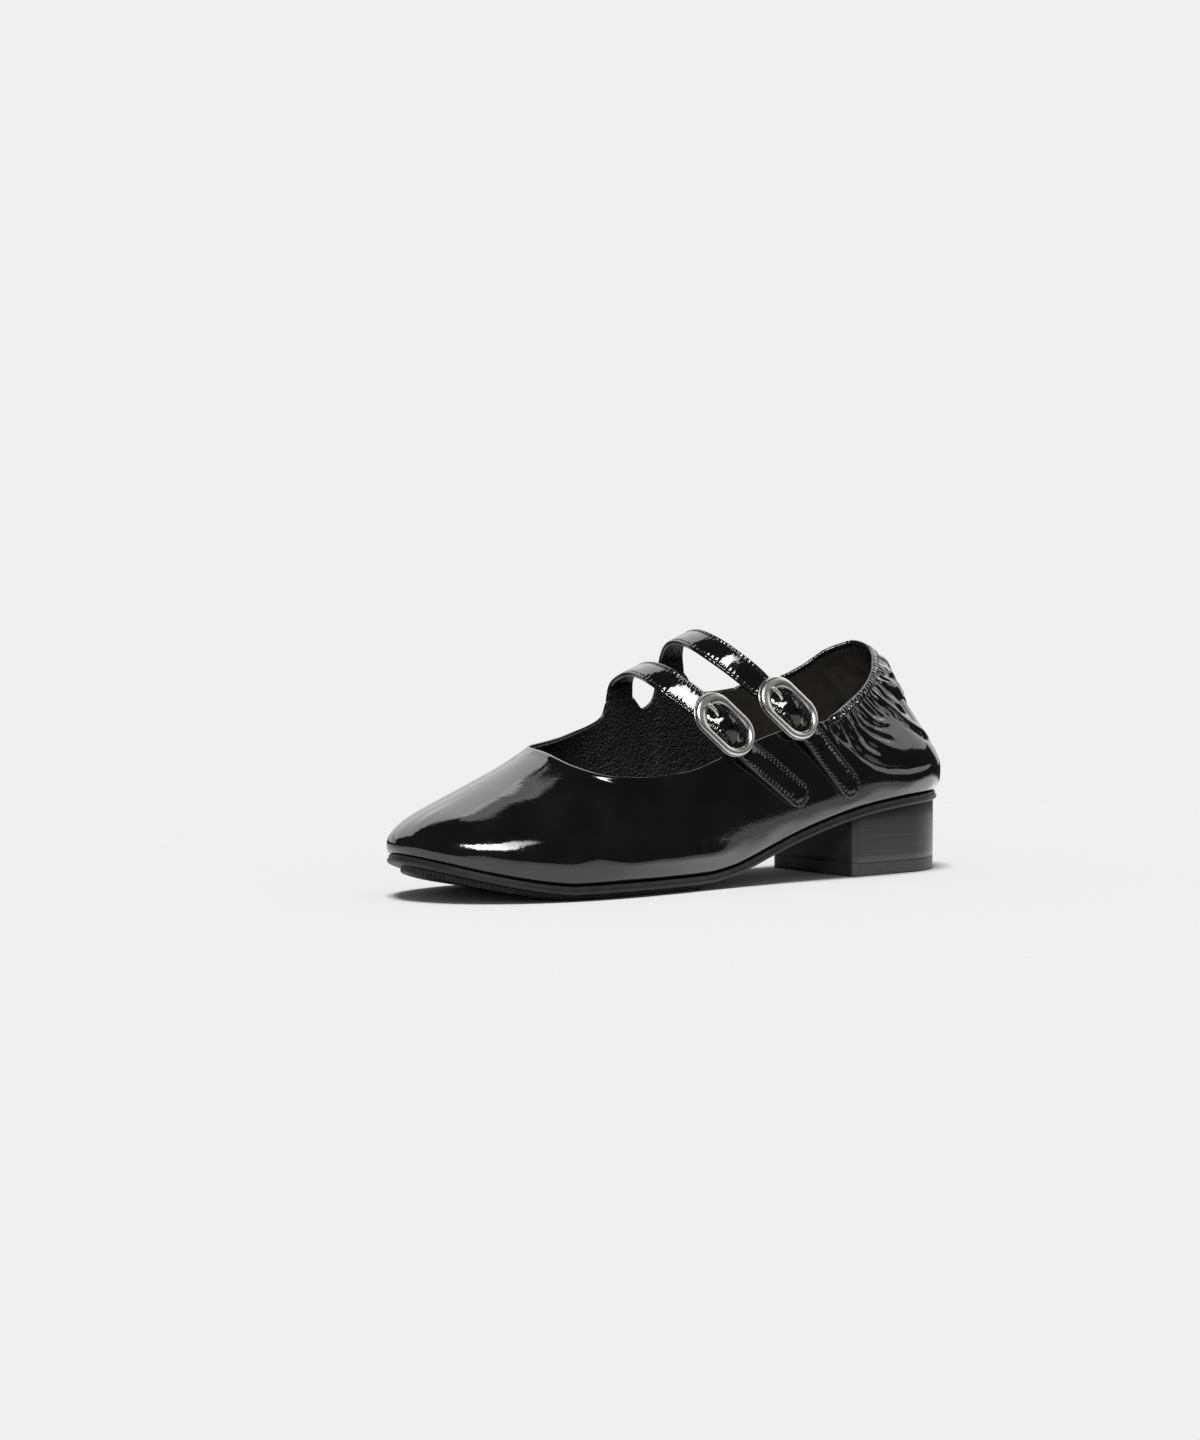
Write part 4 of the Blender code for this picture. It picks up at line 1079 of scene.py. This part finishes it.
def band_across(centres, outwards):
    """The directions across a band that faces outwards."""
    return unit(np.cross(outwards, np.gradient(centres, axis=0)))


def tail_line(spec, tree, last, start, facing):
    """Middle points and width directions of a strap's tail, which lies on the quarter, up to its tip."""
    tip_s, tip_z = spec["tip"]
    tail, facings = [last, start], [facing, facing]
    for share in (0.3, 0.55, 0.8, 1.0):
        s = start[0] + (tip_s - start[0]) * share
        z = start[2] + (tip_z - start[2]) * share
        place, square = on_quarter(tree, s, z, 4.0)
        tail.append(place + square * (STRAP_REST + STRAP_THICK / 2))
        facings.append(square)
    tail = round_curve(tail, 3)[1:]
    flat = band_across(tail, round_curve(facings, 3)[1:])
    return tail, [w if w[0] > 0 else -w for w in flat]


def strap_line(spec, tree):
    """Middle points and width directions of a strap from its root, through its buckle, to its tail's tip."""
    along, across, faces = buckle_axes(spec)
    middle = np.array(spec["buckle"])
    enters = spec["enters"]

    def in_buckle(a):
        return middle + along * a + faces * bulge(a)

    # The arch over the foot, which turns from its own tilt to the buckle's.
    arch = np.array(spec["arch"])
    steps = 3
    line = round_curve(np.vstack([arch[:, :3], in_buckle(enters), in_buckle(enters + 2.0)]), steps)
    at = np.arange(len(line)) / steps
    tilts = np.radians(np.interp(at, np.arange(len(arch)), arch[:, 3]))
    blend = smoothstep(len(arch) - 0.7, len(arch) + 0.7, at)
    side = -across if across[0] < 0 else across
    centres = list(line)
    widths = [
        unit(np.array([math.cos(tilt), 0.0, -math.sin(tilt)]) * (1 - mix) + side * mix)
        for tilt, mix in zip(tilts, blend)
    ]
    # The part that goes under the frame, over the bar and under the frame again.
    for a in IN_BUCKLE:
        if a > enters + 2.5:
            centres.append(in_buckle(a))
            widths.append(side)
    tail, flat = tail_line(spec, tree, centres[-1], in_buckle(BUCKLE_LONG / 2 + 1.0), faces)
    return np.array([*centres, *tail]), np.array([*widths, *flat])


# ---------------------------------------------------------------- straps


def strap_frame(spec, tree):
    """A strap's middle points at even steps, with the directions across it and up from it."""
    centres, widths = strap_line(spec, tree)
    root = centres[0] - unit(centres[1] - centres[0]) * 3.0
    centres = round_curve(np.vstack([root, centres]), 4)
    widths = round_curve(np.vstack([widths[0], widths]), 4)
    centres, widths = resample(centres, STRAP_STEP, widths)
    ways = unit(np.gradient(centres, axis=0))
    acrosses = unit(widths - ways * (widths * ways).sum(1, keepdims=True))
    ups = np.cross(ways, acrosses)
    return centres, acrosses, ups if ups[len(ups) // 3][2] >= 0 else -ups


def stitch_path(length, full):
    """The line of the stitches near each edge and round the tip, as places along and across the strap."""
    reach = STRAP_WIDTH / 2 - STITCH_INSET
    tip_at = length[-1] - STRAP_WIDTH / 2

    def off(at):
        return reach + (np.interp(at, length, full) - STRAP_WIDTH / 2)

    path = [(at, off(at)) for at in np.arange(1.0, tip_at, 0.4)]
    path += [(tip_at + reach * math.sin(a), reach * math.cos(a)) for a in np.linspace(0, math.pi, 30)]
    path += [(at, -off(at)) for at in np.arange(tip_at, 1.0, -0.4)]
    return np.array(path)


def near_stitches(x, length, path, count):
    """Distance from the row of stitches, and how near the closest hole is along it, from 0 to 1."""
    run = along_line(path)
    spots = np.column_stack([np.broadcast_to(length, x.shape).ravel(), x.ravel()])
    away = np.linalg.norm(spots[:, None, :] - path[None], axis=2)
    nearest = away.argmin(1)
    off_row = away[np.arange(len(spots)), nearest].reshape(x.shape)
    phase = 2 * math.pi * (run[nearest] / run[-1] * count).reshape(x.shape)
    return off_row, 0.5 + 0.5 * np.cos(phase)


def strap_shape(spec, centres, length, full, path, count):
    """The strap's section at each of its middle points: places across it with their heights."""
    length, full = length[:, None], full[:, None]
    left = length[-1] - length
    tip = np.clip((full - left) / full, 0, 1)
    half = np.maximum(full * np.sqrt(1 - tip**2), 0.35)
    x = half * np.sin(np.linspace(-math.pi / 2, math.pi / 2, 31))
    ahead = np.maximum(full - left, 0)
    inset = np.clip(np.where(ahead > 0, full - np.sqrt(ahead**2 + x**2), full - np.abs(x)), 0, None)

    # The upper face: rounded edges, a stitched groove with a hole at each stitch, and a slight dome.
    off_row, hole = near_stitches(x, length, path, count)
    to_edge = STRAP_CORNER - np.clip(inset, 0, STRAP_CORNER)
    round_off = STRAP_CORNER - np.sqrt(np.clip(STRAP_CORNER**2 - to_edge**2, 0, None))
    groove = 0.02 * hill(off_row, 0.34) + 0.30 * hole**2 * hill(off_row, 0.55)
    edge_swell = 0.12 * (1 - hole) * hill(inset - 0.6, 0.4)
    dome = 0.16 * smoothstep(STITCH_INSET - 0.3, 4.8, inset) - 0.10 * hole * hill(off_row, 1.3)
    worn = 0.018 + 0.05 * smoothstep(20.0, 8.0, left)
    uneven = worn * ripple(x * 0.8, length, 2.8, spec["seed"])

    # The whole strap: its tip settles on the quarter, and it curls over the bar.
    settle = 0.4 * np.clip((14.0 - left) / 14.0, 0, 1) ** 2 - 0.35 * hill(left - 19.0, 7.0)
    from_bar = np.abs((centres - np.array(spec["buckle"])) @ buckle_axes(spec)[0])[:, None]
    curl = 1.0 * smoothstep(9.0, 5.0, from_bar) * ((x + 1.8) / 5.0) ** 2
    rise = STRAP_THICK / 2 - round_off - groove + edge_swell + dome + uneven * smoothstep(0.3, 1.4, inset)
    rise = rise - curl - settle
    fall = -(STRAP_THICK / 2 - 0.6 * round_off) - curl - settle
    return np.concatenate([np.stack([x, rise], -1), np.stack([x, fall], -1)[:, 29:0:-2]], axis=1)


def strap_pieces(name, spec, tree, patent, lining, thread):
    """A strap of patent leather over lining, its two punched holes and its stitches."""
    centres, acrosses, ups = strap_frame(spec, tree)
    length = along_line(centres)
    full = STRAP_WIDTH / 2 + STRAP_FLARE / 2 * np.clip(1 - (length - 3.0) / 16.0, 0, 1) ** 2
    path = stitch_path(length, full)
    run = along_line(path)
    count = int(round(run[-1] / STITCH_PITCH))
    shape = strap_shape(spec, centres, length, full, path, count)
    strap = tube_piece(
        "strap_" + name + "_leather",
        sweep(centres, acrosses, ups, shape),
        [patent, lining],
        "patent_leather",
        sharp=60,
        replaces="strap_" + name,
        look_of=([0] * 31 + [1] * 14 + [0]) * (len(centres) - 1) + [0, 0],
    )
    along, _, faces_out = buckle_axes(spec)
    middle = np.array(spec["buckle"])
    spare = middle + along * SPARE_HOLE
    cut_hole(strap, [middle + along * a + faces_out * h for a, h in PRONG_HOLE], lining)
    cut_hole(strap, [spare - faces_out * 4.0, spare + faces_out * 4.0], lining)

    at, off = (np.interp((np.arange(count) + 0.5) / count * run[-1], run, path[:, k]) for k in (0, 1))
    spots, sides, outwards = rows_at(at, length, centres, acrosses, ups)
    outwards = unit(outwards)
    line = spots + sides * off[:, None] + outwards * (STRAP_THICK / 2 - 0.05)
    stitch_piece("strap_" + name + "_stitches", line, outwards, thread)


def cut_hole(target, line, look):
    """Cuts a round hole through a piece along a line."""
    rings = rod_rings(line, HOLE_RADIUS)
    cutter = closed_mesh("cutter", rings.reshape(-1, 3), tube_faces(*rings.shape[:2]), [look])
    tool = new_object("cutter", cutter)
    modifier = target.modifiers.new("Hole", "BOOLEAN")
    modifier.object = tool
    modifier.operation = "DIFFERENCE"
    bpy.context.view_layer.update()
    graph = bpy.context.evaluated_depsgraph_get()
    made = bpy.data.meshes.new_from_object(target.evaluated_get(graph))
    target.modifiers.remove(modifier)
    old = target.data
    target.data = made
    bpy.data.meshes.remove(old)
    bpy.data.objects.remove(tool, do_unlink=True)


# ---------------------------------------------------------------- buckles and elastics


def rod_rings(line, radii, sides=20):
    """Rings of points round a line, for a round rod."""
    line = np.asarray(line, float)
    ways = unit(np.gradient(line, axis=0))
    first = unit(np.cross(ways, np.array([0.0, 0.0, 1.0])))
    second = np.cross(ways, first)
    turns = np.linspace(0, 2 * math.pi, sides, endpoint=False)
    circle = np.column_stack([np.cos(turns), np.sin(turns)])
    return sweep(line, first, second, circle * np.broadcast_to(radii, len(line))[:, None, None])


def stadium(length, width, steps, head=0.0):
    """Points round a shape with straight sides and round ends, its back end drawn in by head."""
    radius = width / 2
    centre = length / 2 - radius
    turns = 2 * math.pi * (np.arange(steps) + 0.5) / steps
    x = radius * np.cos(turns)
    return np.column_stack([np.where(x > 0, x + centre, x - (centre - head)), radius * np.sin(turns)])


def buckle_pieces(name, spec, metal):
    """A buckle's frame, the bar across it and the prong that is hinged on the bar."""
    along, across, faces_out = buckle_axes(spec)
    middle = np.array(spec["buckle"])
    steps = 112
    outer = stadium(BUCKLE_LONG, BUCKLE_WIDE, steps)
    opening = (BUCKLE_LONG - 2 * BUCKLE_SIDE, BUCKLE_WIDE - 2 * BUCKLE_SIDE)
    hole = stadium(*opening, steps, BUCKLE_HEAD - BUCKLE_SIDE)
    rows = []
    for share, height in FRAME_SECTION:
        flat = outer + (hole - outer) * share
        rows.append(middle + np.outer(flat[:, 0], along) + np.outer(flat[:, 1], across) + faces_out * height)
    frame_name = "buckle_" + name
    loop_piece(frame_name + "_frame", np.array(rows), [metal], "buckle_metal", sharp=60, replaces=frame_name)
    reach = BUCKLE_WIDE / 2 - BUCKLE_SIDE / 2
    bar = middle - faces_out * BAR_DROP + np.outer(np.linspace(-reach, reach, 9), across)
    tube_piece("buckle_" + name + "_bar", rod_rings(bar, BAR_RADIUS), [metal], "buckle_metal", sharp=60)
    prong = round_curve([middle + along * a + faces_out * h for a, h in PRONG_LINE], 8)
    share = np.linspace(0, 1, len(prong))
    radii = PRONG_RADIUS * (1 - 0.22 * share) * np.sqrt(1 - smoothstep(0.94, 1.0, share) ** 2 * 0.92)
    rings = rod_rings(prong, radii)
    replaces = "buckle_prong_" + name
    tube_piece("buckle_" + name + "_prong", rings, [metal], "buckle_metal", sharp=70, replaces=replaces)


def elastic_piece(name, spec, tree, look):
    """The ribbed elastic from behind a buckle's bar down inside the quarter."""
    faces_out = buckle_axes(spec)[2]
    below = BAR_DROP + BAR_RADIUS + GAP + ELASTIC_THICK / 2
    line, facing = [np.array(spec["buckle"]) - faces_out * below], [faces_out]
    (top_s, top_z), (end_s, end_z) = spec["elastic"]
    for share in (0.0, 0.33, 0.67, 1.0):
        s, z = top_s + (end_s - top_s) * share, top_z + (end_z - top_z) * share
        place, square = on_quarter(tree, s, z, -4.0)
        line.append(place - square * (WALL + 0.7 + ELASTIC_THICK / 2))
        facing.append(square)
    line, facing = resample(round_curve(line, 6), 0.5, round_curve(facing, 6))
    acrosses = band_across(line, facing)
    ups = unit(np.cross(unit(np.gradient(line, axis=0)), acrosses))
    x = np.linspace(-1, 1, 49) * ELASTIC_WIDTH / 2
    half = ELASTIC_THICK / 2 * np.sqrt(np.clip(1 - (np.abs(x) / (ELASTIC_WIDTH / 2)) ** 14, 0.02, 1))
    height = half - RIB_DEPTH + RIB_DEPTH * np.cos(2 * math.pi * x / RIB)
    shape = np.vstack([np.column_stack([x, height]), np.column_stack([x, -height])[::-1]])
    values = {"across": np.tile(shape[:, 0], len(line)), "along": np.repeat(along_line(line), len(shape))}
    rings = sweep(line, acrosses, ups, shape)
    replaces = "elastic_tab_" + name
    tube_piece("elastic_" + name, rings, [look], "elastic", sharp=70, replaces=replaces, values=values)


# ---------------------------------------------------------------- sole, insole and heel


def plate_sides(back_s, rungs):
    """Places on the outsole's edge from a plate's back to the toe, with outward directions, on each side."""
    rung = np.arange(rungs + 1)
    mix = 0.35 * rung / rungs + 0.65 * (1 - np.cos(np.pi * rung / rungs)) / 2
    starts = [share_at(side, back_s) if back_s else 0.0 for side in SIDES]
    left_share, right_share = (start + (1 - start) * mix for start in starts)
    return edge_at(left_share), edge_at(2 - right_share)


def above_sole(flat, lift):
    """Points at places in plan, lift above the sole's lower face."""
    flat = np.array(flat)
    return np.column_stack([flat, sole_z(flat[:, 0]) + lift])


def plate_rows(start, size, inner, rungs, across):
    """The point numbers of a plate's flat side, in rows from its back to the toe.

    The loop of size points round it is numbered from start, and the points inside it from inner.
    """
    rows = [[start, *range(start + size - 1, start + 2 * rungs - 1, -1)]]
    for k in range(1, rungs):
        first = inner + (k - 1) * (across - 1)
        rows.append([start + k, *range(first, first + across - 1), start + 2 * rungs - k])
    return [*rows, [start + rungs]]


def row_faces(rows):
    """Faces between rows of points. A single point is joined to the row beside it by triangles."""
    faces = []
    for one, two in zip(rows, rows[1:]):
        if len(one) == 1:
            faces.extend([one[0], two[c], two[c + 1]] for c in range(len(two) - 1))
        elif len(two) == 1:
            faces.extend([one[c], two[0], one[c + 1]] for c in range(len(one) - 1))
        else:
            faces.extend([one[c], two[c], two[c + 1], one[c + 1]] for c in range(len(one) - 1))
    return faces


def plate_piece(name, slot, look, replaces, profile, back_s=0.0, rungs=150, across=10, grooved=()):
    """A plate that follows the sole in plan, with a straight back at back_s if that is given.

    profile has its inset, and its height above the sole's lower face, from its lower to its upper face.
    """
    (left, left_out), (right, right_out) = plate_sides(back_s, rungs)
    loops = []
    for inset, lift in profile:
        a, b = left - left_out * inset, right - right_out * inset
        around = [*a, *b[-2:0:-1]]
        if back_s:
            around += [b[0] + (a[0] - b[0]) * c / across for c in range(across)]
        loops.append(above_sole(around, lift))
    for k in grooved:
        inward = unit(loops[k][:, :2].mean(0) - loops[k][:, :2])
        ridges = 0.5 + 0.5 * np.sign(np.sin(2 * math.pi * along_line(loops[k]) / GROOVE_PITCH))
        loops[k][:, :2] += inward * GROOVE_DEPTH * ridges[:, None]
    size = len(loops[0])
    points = np.vstack(loops)
    faces = ring_faces(len(loops), size)
    for which in (0, len(loops) - 1):
        inset, lift = profile[which]
        a, b = left - left_out * inset, right - right_out * inset
        faces += row_faces(plate_rows(which * size, size, len(points), rungs, across))
        inner = [a[k] + (b[k] - a[k]) * c / across for k in range(1, rungs) for c in range(1, across)]
        points = np.vstack([points, above_sole(inner, lift)])
    make_piece(name, points, faces, [look], slot, sharp=40, replaces=replaces)


def heel_outline(inset):
    """Plan of the heel block: straight breast with soft corners, straight sides and a round back."""
    half = HEEL_WIDE / 2 - inset
    made = [
        (HEEL_WIDE / 2 + half * math.cos(a), half * math.sin(a))
        for a in math.pi * (0.5 + np.arange(61) / 60)
    ]
    breast = HEEL_LONG - inset - HEEL_CORNER
    side = half - HEEL_CORNER
    for start, sign in ((-90, -1), (0, 1)):
        for k in range(9):
            angle = math.radians(start + 90 * k / 8)
            made.append((breast + HEEL_CORNER * math.cos(angle), sign * side + HEEL_CORNER * math.sin(angle)))
    # Even steps round it, so that its long straight runs are divided too.
    even = resample(np.array([*made, made[0]]), 1.1)[0][:-1]
    aside = np.array([-HEEL_AHEAD[1], HEEL_AHEAD[0]])
    return np.array(HEEL_BACK) + even[:, :1] * HEEL_AHEAD + even[:, 1:] * aside


def block_piece(name, slot, looks, replaces, low, high, inset, chamfer, layer=None):
    """A block with the heel's plan from height low up to high(s), with a fine groove where two layers meet.

    The second look covers its front face and paints shade on it.
    """
    base = heel_outline(inset)
    centre = base.mean(0)
    inward = unit(centre - base)
    top = high(base[:, 0])
    clear = float((top - low).min())
    levels = set(np.linspace(0, clear - 0.6, 5).tolist())
    if layer:
        for k in range(1, int(clear / layer) + 1):
            levels.update(k * layer + off for off in (-0.5, -0.3, -0.1, 0.0, 0.1, 0.3, 0.5))

    def ring(drawn_in, height):
        return np.column_stack([base + inward * drawn_in, np.broadcast_to(height, len(base))])

    rings = [ring(chamfer + 0.4, low), ring(chamfer, low), ring(0.0, low + chamfer)]
    for level in sorted(x for x in levels if 0 < x <= clear - 0.6):
        dip = 0.0
        if layer and level > layer / 2:
            dip = 0.02 * hill((level + layer / 2) % layer - layer / 2, 0.1)
        rings.append(ring(dip, low + level))
    rings += [ring(0.0, top - 0.3), ring(chamfer, top)]
    size = len(base)
    middles = [(*centre, low), (*centre, float(high(centre[:1])[0]))]
    points = np.vstack([*rings, *middles])
    faces = ring_faces(len(rings), size) + fan(0, size, len(points) - 2)
    faces += fan((len(rings) - 1) * size, size, len(points) - 1)
    # Faces at the front get the second look, the breast's painted shade.
    ahead = points[:, :2] @ HEEL_AHEAD
    front = ahead.max() - BREAST_SHADE_DEPTH
    look_of = [int(ahead[list(face)].min() > front) for face in faces]
    make_piece(name, points, faces, looks, slot, sharp=45, replaces=replaces, look_of=look_of)


def sole_pieces(rubber, lift, stack, breast, sock):
    """The outsole, the pad under the forefoot, the insole and the two parts of the heel."""
    rim = (
        # inset, height
        (1.2, 0.0),
        (0.5, 0.10),
        (0.18, 0.32),
        (0.04, 0.70),
        (0.0, 1.1),
        (0.06, 1.45),
        (0.30, 1.62),
        (0.52, 1.72),
        (0.56, 1.9),
        (0.56, 2.6),
        (0.62, 2.95),
        (0.85, 3.15),
        (1.3, 3.2),
    )
    plate_piece("outsole_rubber", "sole_rubber", rubber, "outsole", rim)
    base = -GAP - PAD_THICK
    rim = (
        (PAD_INSET + 0.4, base),
        (PAD_INSET + 0.1, base + 0.2),
        (PAD_INSET, base + 0.45),
        (PAD_INSET, base + 1.55),
        (PAD_INSET, base + 1.75),
        (PAD_INSET, -GAP),
    )
    settings = {"back_s": PAD_BACK_S, "rungs": 300, "grooved": (2, 3)}
    plate_piece("forefoot_pad_rubber", "sole_rubber", rubber, "forefoot_pad", rim, **settings)
    top = OUTSOLE_THICK + GAP
    rim = (
        (3.4, top + 1.85),
        (2.8, top + 2.1),
        (2.5, top + 2.5),
        (2.7, top + 2.85),
        (3.4, top + 2.95),
        (5.0, top + 2.8),
        (8.0, top + 2.6),
    )
    plate_piece("insole_sock", "insole_leather", sock, "insole", rim, across=14)
    block_piece(
        "heel_stack",
        "stacked_heel",
        [stack, breast],
        "heel_block",
        low=LIFT_THICK + 0.05,
        high=lambda s: sole_z(s) - 0.02,
        inset=0.0,
        chamfer=0.12,
        layer=LAYER,
    )
    block_piece(
        "heel_lift",
        "sole_rubber",
        [lift, breast],
        "heel_top_lift",
        low=0.0,
        high=lambda s: 0 * s + LIFT_THICK,
        inset=0.05,
        chamfer=0.25,
    )


# ---------------------------------------------------------------- light, floor and camera


def direction(azimuth, elevation):
    """From the shoe towards a light or the camera. Azimuth 0 is the lateral side and 90 the heel's."""
    a, e = math.radians(azimuth), math.radians(elevation)
    return Vector((math.sin(a) * math.cos(e), -math.cos(a) * math.cos(e), math.sin(e)))


def aim(obj, azimuth, elevation, distance, roll=0.0):
    """Puts a lamp or the camera at a distance from the shoe's middle, facing it."""
    away = direction(azimuth, elevation)
    obj.location = SHOE_MIDDLE + away * distance
    obj.rotation_euler = (away.to_track_quat("Z", "Y") @ Quaternion((0, 0, 1), math.radians(roll))).to_euler()


def group(name, pieces):
    made = bpy.data.collections.new(name)
    for piece in pieces:
        made.objects.link(piece)
    return made


def softbox(name, azimuth, elevation, distance, size, radiance, lit, roll=0.0):
    """A rectangular lamp that faces the shoe and lights the pieces in lit. radiance is its brightness."""
    lamp = bpy.data.lights.new(name, "AREA")
    lamp.shape = "RECTANGLE"
    lamp.size, lamp.size_y = size
    lamp.energy = radiance * math.pi * size[0] * size[1]
    obj = new_object(name, lamp)
    aim(obj, azimuth, elevation, distance, roll)
    obj.visible_camera = False
    obj.light_linking.receiver_collection = group(name + "_lights", lit)
    return obj


def lamp_face(obj):
    """A lamp's nodes, with the place across its face and the place up it, each from 0 to 1."""
    obj.data.use_nodes = True
    tree = obj.data.node_tree
    across, up, _ = add_node(tree, "SeparateXYZ", add_node(tree, "NewGeometry").outputs["Parametric"]).outputs
    return tree, across, up


def wedge(obj):
    """Lets a lamp's face narrow and fade from its left end to its right one."""
    tree, across, up = lamp_face(obj)
    half = spread(tree, across, 0.5, 0.2)
    off = compute(tree, "ABSOLUTE", compute(tree, "SUBTRACT", up, 0.5))
    reach = compute(tree, "DIVIDE", off, half)
    left_end = spread(tree, across, 0.0, 1.0, at=(0.0, 0.08), kind="SMOOTHSTEP")
    right_end = spread(tree, across, 1.0, 0.0, at=(0.5, 1.0), kind="SMOOTHSTEP")
    sides = spread(tree, reach, 1.0, 0.0, at=(0.7, 1.0), kind="SMOOTHSTEP")
    ends = compute(tree, "MULTIPLY", left_end, right_end)
    plug(tree.nodes["Emission"].inputs["Strength"], compute(tree, "MULTIPLY", ends, sides))


def graded(obj, low, high):
    """Lets a lamp's face get brighter from its lower edge to its upper one."""
    tree, _, up = lamp_face(obj)
    plug(tree.nodes["Emission"].inputs["Strength"], spread(tree, up, low, high))


def floor_look():
    """Plain white that is gone further out. The gloss mirrors it brighter along the shoe and at the heel:
    painted light, a white above what its lamp gives.
    """
    look = bpy.data.materials.new("floor")
    look.use_nodes = True
    tree = look.node_tree
    tree.nodes.remove(tree.nodes["Principled BSDF"])
    spots = own_space(tree)
    behind, aside, _ = add_node(tree, "SeparateXYZ", spots).outputs
    # Painted light: for gloss rays the floor's white is raised to as much as 1.7 at the heel and along the
    # shoe, so the shoe mirrors a painted brightness.
    near = spread(tree, behind, 0.9, 1.7, at=(-0.06, 0.05), kind="SMOOTHSTEP")
    glow = spread(tree, compute(tree, "ABSOLUTE", aside), near, 0.64, at=FLOOR_PAINTED_GLOW, kind="SMOOTHSTEP")
    plain = add_node(tree, "BsdfDiffuse", (FLOOR_WHITE, FLOOR_WHITE, FLOOR_WHITE, 1)).outputs[0]
    painted_mirror_floor = add_node(tree, "BsdfDiffuse", glow).outputs[0]
    glossy = add_node(tree, "LightPath").outputs["Is Glossy Ray"]
    solid = add_node(tree, "MixShader", glossy, plain, painted_mirror_floor).outputs[0]
    oval = add_node(tree, "Mapping", spots, Scale=(1.0, 1.45, 1.0)).outputs["Vector"]
    distance = add_node(tree, "VectorMath", oval, operation="LENGTH").outputs["Value"]
    fade = spread(tree, distance, 0.0, 1.0, at=FLOOR_REACH, kind="SMOOTHSTEP")
    clear = add_node(tree, "BsdfTransparent").outputs[0]
    mixed = add_node(tree, "MixShader", fade, solid, clear).outputs[0]
    plug(tree.nodes["Material Output"].inputs["Surface"], mixed)
    return look


def make_floor():
    """A pale round floor under the shoe that fades into the background further out."""
    rings, steps = 40, 96
    radii = FLOOR_SIZE * np.linspace(0, 1, rings) ** 1.6
    turns = np.linspace(0, 2 * math.pi, steps, endpoint=False)
    points = [(0.0, 0.0, 0.0)]
    for r in radii[1:]:
        points.extend((r * math.cos(a), r * math.sin(a), 0.0) for a in turns)
    faces = fan(1, steps, 0) + (np.array(ring_faces(rings - 1, steps)) + 1).tolist()
    mesh = bpy.data.meshes.new("floor")
    mesh.from_pydata(points, [], faces)
    mesh.materials.append(floor_look())
    floor = new_object("floor", mesh)
    floor.location.z = -0.0001
    return floor


def make_sun(floor):
    """A sun for the floor alone, under which only the sole and the heel cast a shadow."""
    lamp = bpy.data.lights.new("floor_light", "SUN")
    lamp.energy = 2.78
    lamp.angle = math.radians(24)
    sun = new_object("floor_light", lamp)
    sun.rotation_euler = direction(-62.0, 79.0).to_track_quat("Z", "Y").to_euler()
    sun.light_linking.receiver_collection = group("floor_lights", [floor])
    shading = [piece for piece in shoe_pieces if piece.name in FLOOR_SHADE]
    sun.light_linking.blocker_collection = group("floor_shade", shading)


def make_world():
    """An even pale background, and dim surroundings for what the gloss mirrors."""
    world = bpy.data.worlds.new("studio")
    world.use_nodes = True
    tree = world.node_tree
    tree.nodes.clear()
    seen = add_node(tree, "Background", (BACKGROUND, BACKGROUND, BACKGROUND, 1)).outputs[0]
    dim = add_node(tree, "Background", (0.03, 0.03, 0.031, 1)).outputs[0]
    soft = add_node(tree, "Background", (0.22, 0.22, 0.22, 1)).outputs[0]
    rays = add_node(tree, "LightPath").outputs
    matt = add_node(tree, "MixShader", rays["Is Diffuse Ray"], dim, soft).outputs[0]
    add_node(tree, "OutputWorld", add_node(tree, "MixShader", rays["Is Camera Ray"], matt, seen).outputs[0])
    bpy.context.scene.world = world


def make_camera():
    camera = bpy.data.cameras.new("camera")
    camera.sensor_width = 36.0
    camera.lens = 144.1
    camera.shift_x = -0.0505
    camera.shift_y = 0.0309
    camera.clip_start = 0.05
    obj = new_object("camera", camera)
    aim(obj, -35.0, 4.9, 2.2)
    bpy.context.scene.camera = obj


# ---------------------------------------------------------------- putting it together

shoe_pieces = []
patent = patent_look()
lining = grained_look("lining_leather", *LINING_COLOURS, 1100.0, 0.0005, 0.42)
suede = grained_look("heel_suede", *SUEDE_COLOURS, 2400.0, 0.00012, 0.9, sheen=0.08)
sock = grained_look("insole_leather", *SOCK_COLOURS, 900.0, 0.00022, 0.42)
rubber = rubber_look("sole_rubber", (0.008, 0.008, 0.0085), (0.015, 0.015, 0.0155))
lift_rubber = rubber_look("lift_rubber", (0.024, 0.0235, 0.0235), (0.030, 0.0295, 0.0295))
stack = stack_look()
# The breast's look is painted shade on the heel's front face.
breast = shaded_breast_look()
nickel = nickel_look()
elastic = elastic_look()
thread = thread_look()

tree = upper_tree()
u, topline, edge_out, edge_up = upper_pieces(patent, lining, suede)
collar_binding(u, topline, edge_out, edge_up, patent)
for place, spec in STRAPS.items():
    strap_pieces(place, spec, tree, patent, lining, thread)
    buckle_pieces(place, spec, nickel)
    elastic_piece(place, spec, tree, elastic)
sole_pieces(rubber, lift_rubber, stack, breast, sock)

floor = make_floor()
make_world()
make_camera()
graded(softbox("back_panel", 160.0, 40.0, 1.6, (3.4, 1.42), 2.05, shoe_pieces), 0.7, 1.05)
softbox("back_low", 160.0, 8.0, 1.6, (3.4, 0.5), 0.95, shoe_pieces)
graded(softbox("top_panel", 138.0, 68.0, 1.6, (0.72, 0.42), 0.9, shoe_pieces), 0.45, 1.25)
softbox("side_panel", 84.0, 30.0, 1.6, (1.9, 1.04), 1.2, shoe_pieces)
wedge(softbox("front_softbox", -26.0, 40.0, 1.8, (1.56, 0.74), 20.0, shoe_pieces, roll=28.0))
metal = [piece for piece in shoe_pieces if "buckle" in piece.name]
softbox("metal_panel", 40.0, 32.0, 1.6, (1.9, 1.6), 0.2, metal)
make_sun(floor)

bpy.context.scene.view_settings.view_transform = "Standard"
